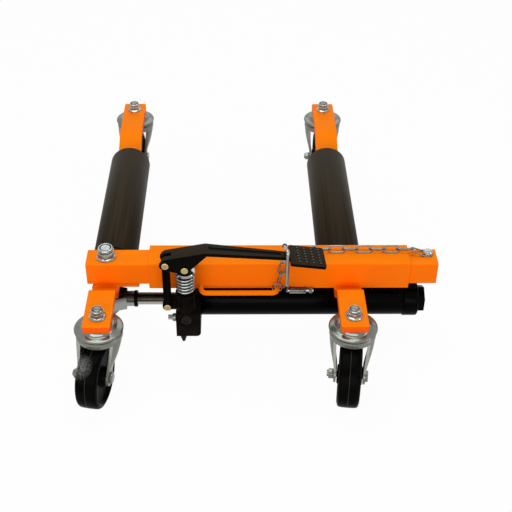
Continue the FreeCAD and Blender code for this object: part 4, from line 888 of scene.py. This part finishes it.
right_beads = [bead_along("right_front_arm", BAR_INSET, y, BAR_TOP, OUTER_BEAD)
               for y in OUTER_FACES]
right_beads += [ring_of_drops((x, BEAM_FRONT, HANDLE_Z), HANDLE_RING, HANDLE_DROP)
                for x in HANDLE_ENDS]
right_beads.append(bead_along("hook_sleeve", SLEEVE_INSET, BEAM_FRONT, SLEEVE_Z, SLEEVE_BEAD))
show("right_frame_welds", merged(*right_beads), "right_frame", "orange_paint")
left_beads = [bead_along("left_front_arm", BAR_INSET, y, BAR_TOP, INNER_BEAD)
              for y in INNER_FACES]
show("left_frame_welds", merged(*left_beads), "left_frame", "orange_paint")
print(len(right_beads) + len(left_beads), "beads")

# %% [markdown]
# ## The lock hook's tip
# The bent wire ends in a dark ball so that it doesn't mark the pedal. It is a sphere slightly
# larger than the one in the solid.

# %% Cap the hook
HOOK_TIP = Vector((-3.4, -7.5, 93.0)) * MM
TIP_RADIUS = 3.75
tip_place = Vector(joint_of["hook_swing"]["pos_m"]) + HOOK_TIP
tip = bmesh.new()
bmesh.ops.create_uvsphere(tip, u_segments=24, v_segments=16, radius=TIP_RADIUS * MM,
                          matrix=Matrix.Translation(tip_place))
show("hook_tip", tip, "hook", "black_paint")
print("hook tip", [round(v / MM, 1) for v in tip_place])

# %% [markdown]
# ## Floor and light
# The object stands on a pale floor in a bright, soft room. The floor shows itself nearly white
# to the camera and to reflections, and still takes the soft shadow under the frame.

# %% Build the studio
WHITE = (1.0, 1.0, 1.0, 1.0)
FLOOR_GREY = (0.70, 0.70, 0.70, 1.0)
FLOOR_SIZE = 30.0
FLOOR_GLOW = 0.965
ROOM_LEVEL = 0.30


def in_view(tree):
    """One for what the camera sees, directly, in a shine or through glass."""
    rays = add(tree, "ShaderNodeLightPath").outputs
    seen = combine(tree, "MAXIMUM", rays["Is Camera Ray"], rays["Is Glossy Ray"])
    return combine(tree, "MAXIMUM", seen, rays["Is Transmission Ray"])


floor_mesh = bpy.data.meshes.new("studio_floor")
sheet = bmesh.new()
bmesh.ops.create_grid(sheet, x_segments=1, y_segments=1, size=FLOOR_SIZE)
sheet.to_mesh(floor_mesh)
sheet.free()
floor = bpy.data.objects.new("studio_floor", floor_mesh)
bpy.context.scene.collection.objects.link(floor)

floor_paint, tree, shader = open_material("studio_floor", Roughness=0.9, Specular_IOR_Level=0.1,
                                          Base_Color=FLOOR_GREY)
share = combine(tree, "MULTIPLY", in_view(tree), FLOOR_GLOW)
glow = add(tree, "ShaderNodeEmission", {"Color": WHITE, "Strength": 1.0})
mixed = add(tree, "ShaderNodeMixShader", {
    "Fac": share, 1: shader.outputs["BSDF"], 2: glow.outputs["Emission"]})
tree.links.new(mixed.outputs["Shader"], tree.nodes["Material Output"].inputs["Surface"])
floor_mesh.materials.append(floor_paint)

world = bpy.data.worlds.new("studio")
bpy.context.scene.world = world
world.use_nodes = True
tree = world.node_tree
room = tree.nodes["Background"]
room.inputs["Color"].default_value = WHITE
room.inputs["Strength"].default_value = ROOM_LEVEL
white = add(tree, "ShaderNodeBackground", {"Color": WHITE, "Strength": 1.0})
swap = add(tree, "ShaderNodeMixShader", {
    "Fac": in_view(tree), 1: room.outputs[0], 2: white.outputs[0]})
tree.links.new(swap.outputs["Shader"], tree.nodes["World Output"].inputs["Surface"])
print("floor and room")

# %% Hang the softboxes
SOFTBOXES = {  # place, aim, width and height in metres, power in watts
    "overhead_box": ((-0.3, 0.1, 2.4), (0.0, 0.0, 0.1), 1.7, 1.7, 30.0),
    "front_box": ((-0.5, -2.6, 1.0), (0.0, -0.2, 0.1), 3.6, 1.0, 45.0),
    "back_box": ((0.2, 2.2, 1.8), (0.0, 0.0, 0.1), 2.5, 1.2, 9.0),
    "right_strip": ((1.9, -0.6, 1.2), (0.0, 0.0, 0.1), 0.4, 1.4, 7.0),
}
for name, (place, aim, width, height, power) in SOFTBOXES.items():
    light = bpy.data.lights.new(name, "AREA")
    light.shape = "RECTANGLE"
    light.size = width
    light.size_y = height
    light.energy = power
    lamp = bpy.data.objects.new(name, light)
    bpy.context.scene.collection.objects.link(lamp)
    lamp.location = place
    lamp.rotation_euler = (Vector(aim) - Vector(place)).to_track_quat("-Z", "Y").to_euler()
print(len(SOFTBOXES), "softboxes")
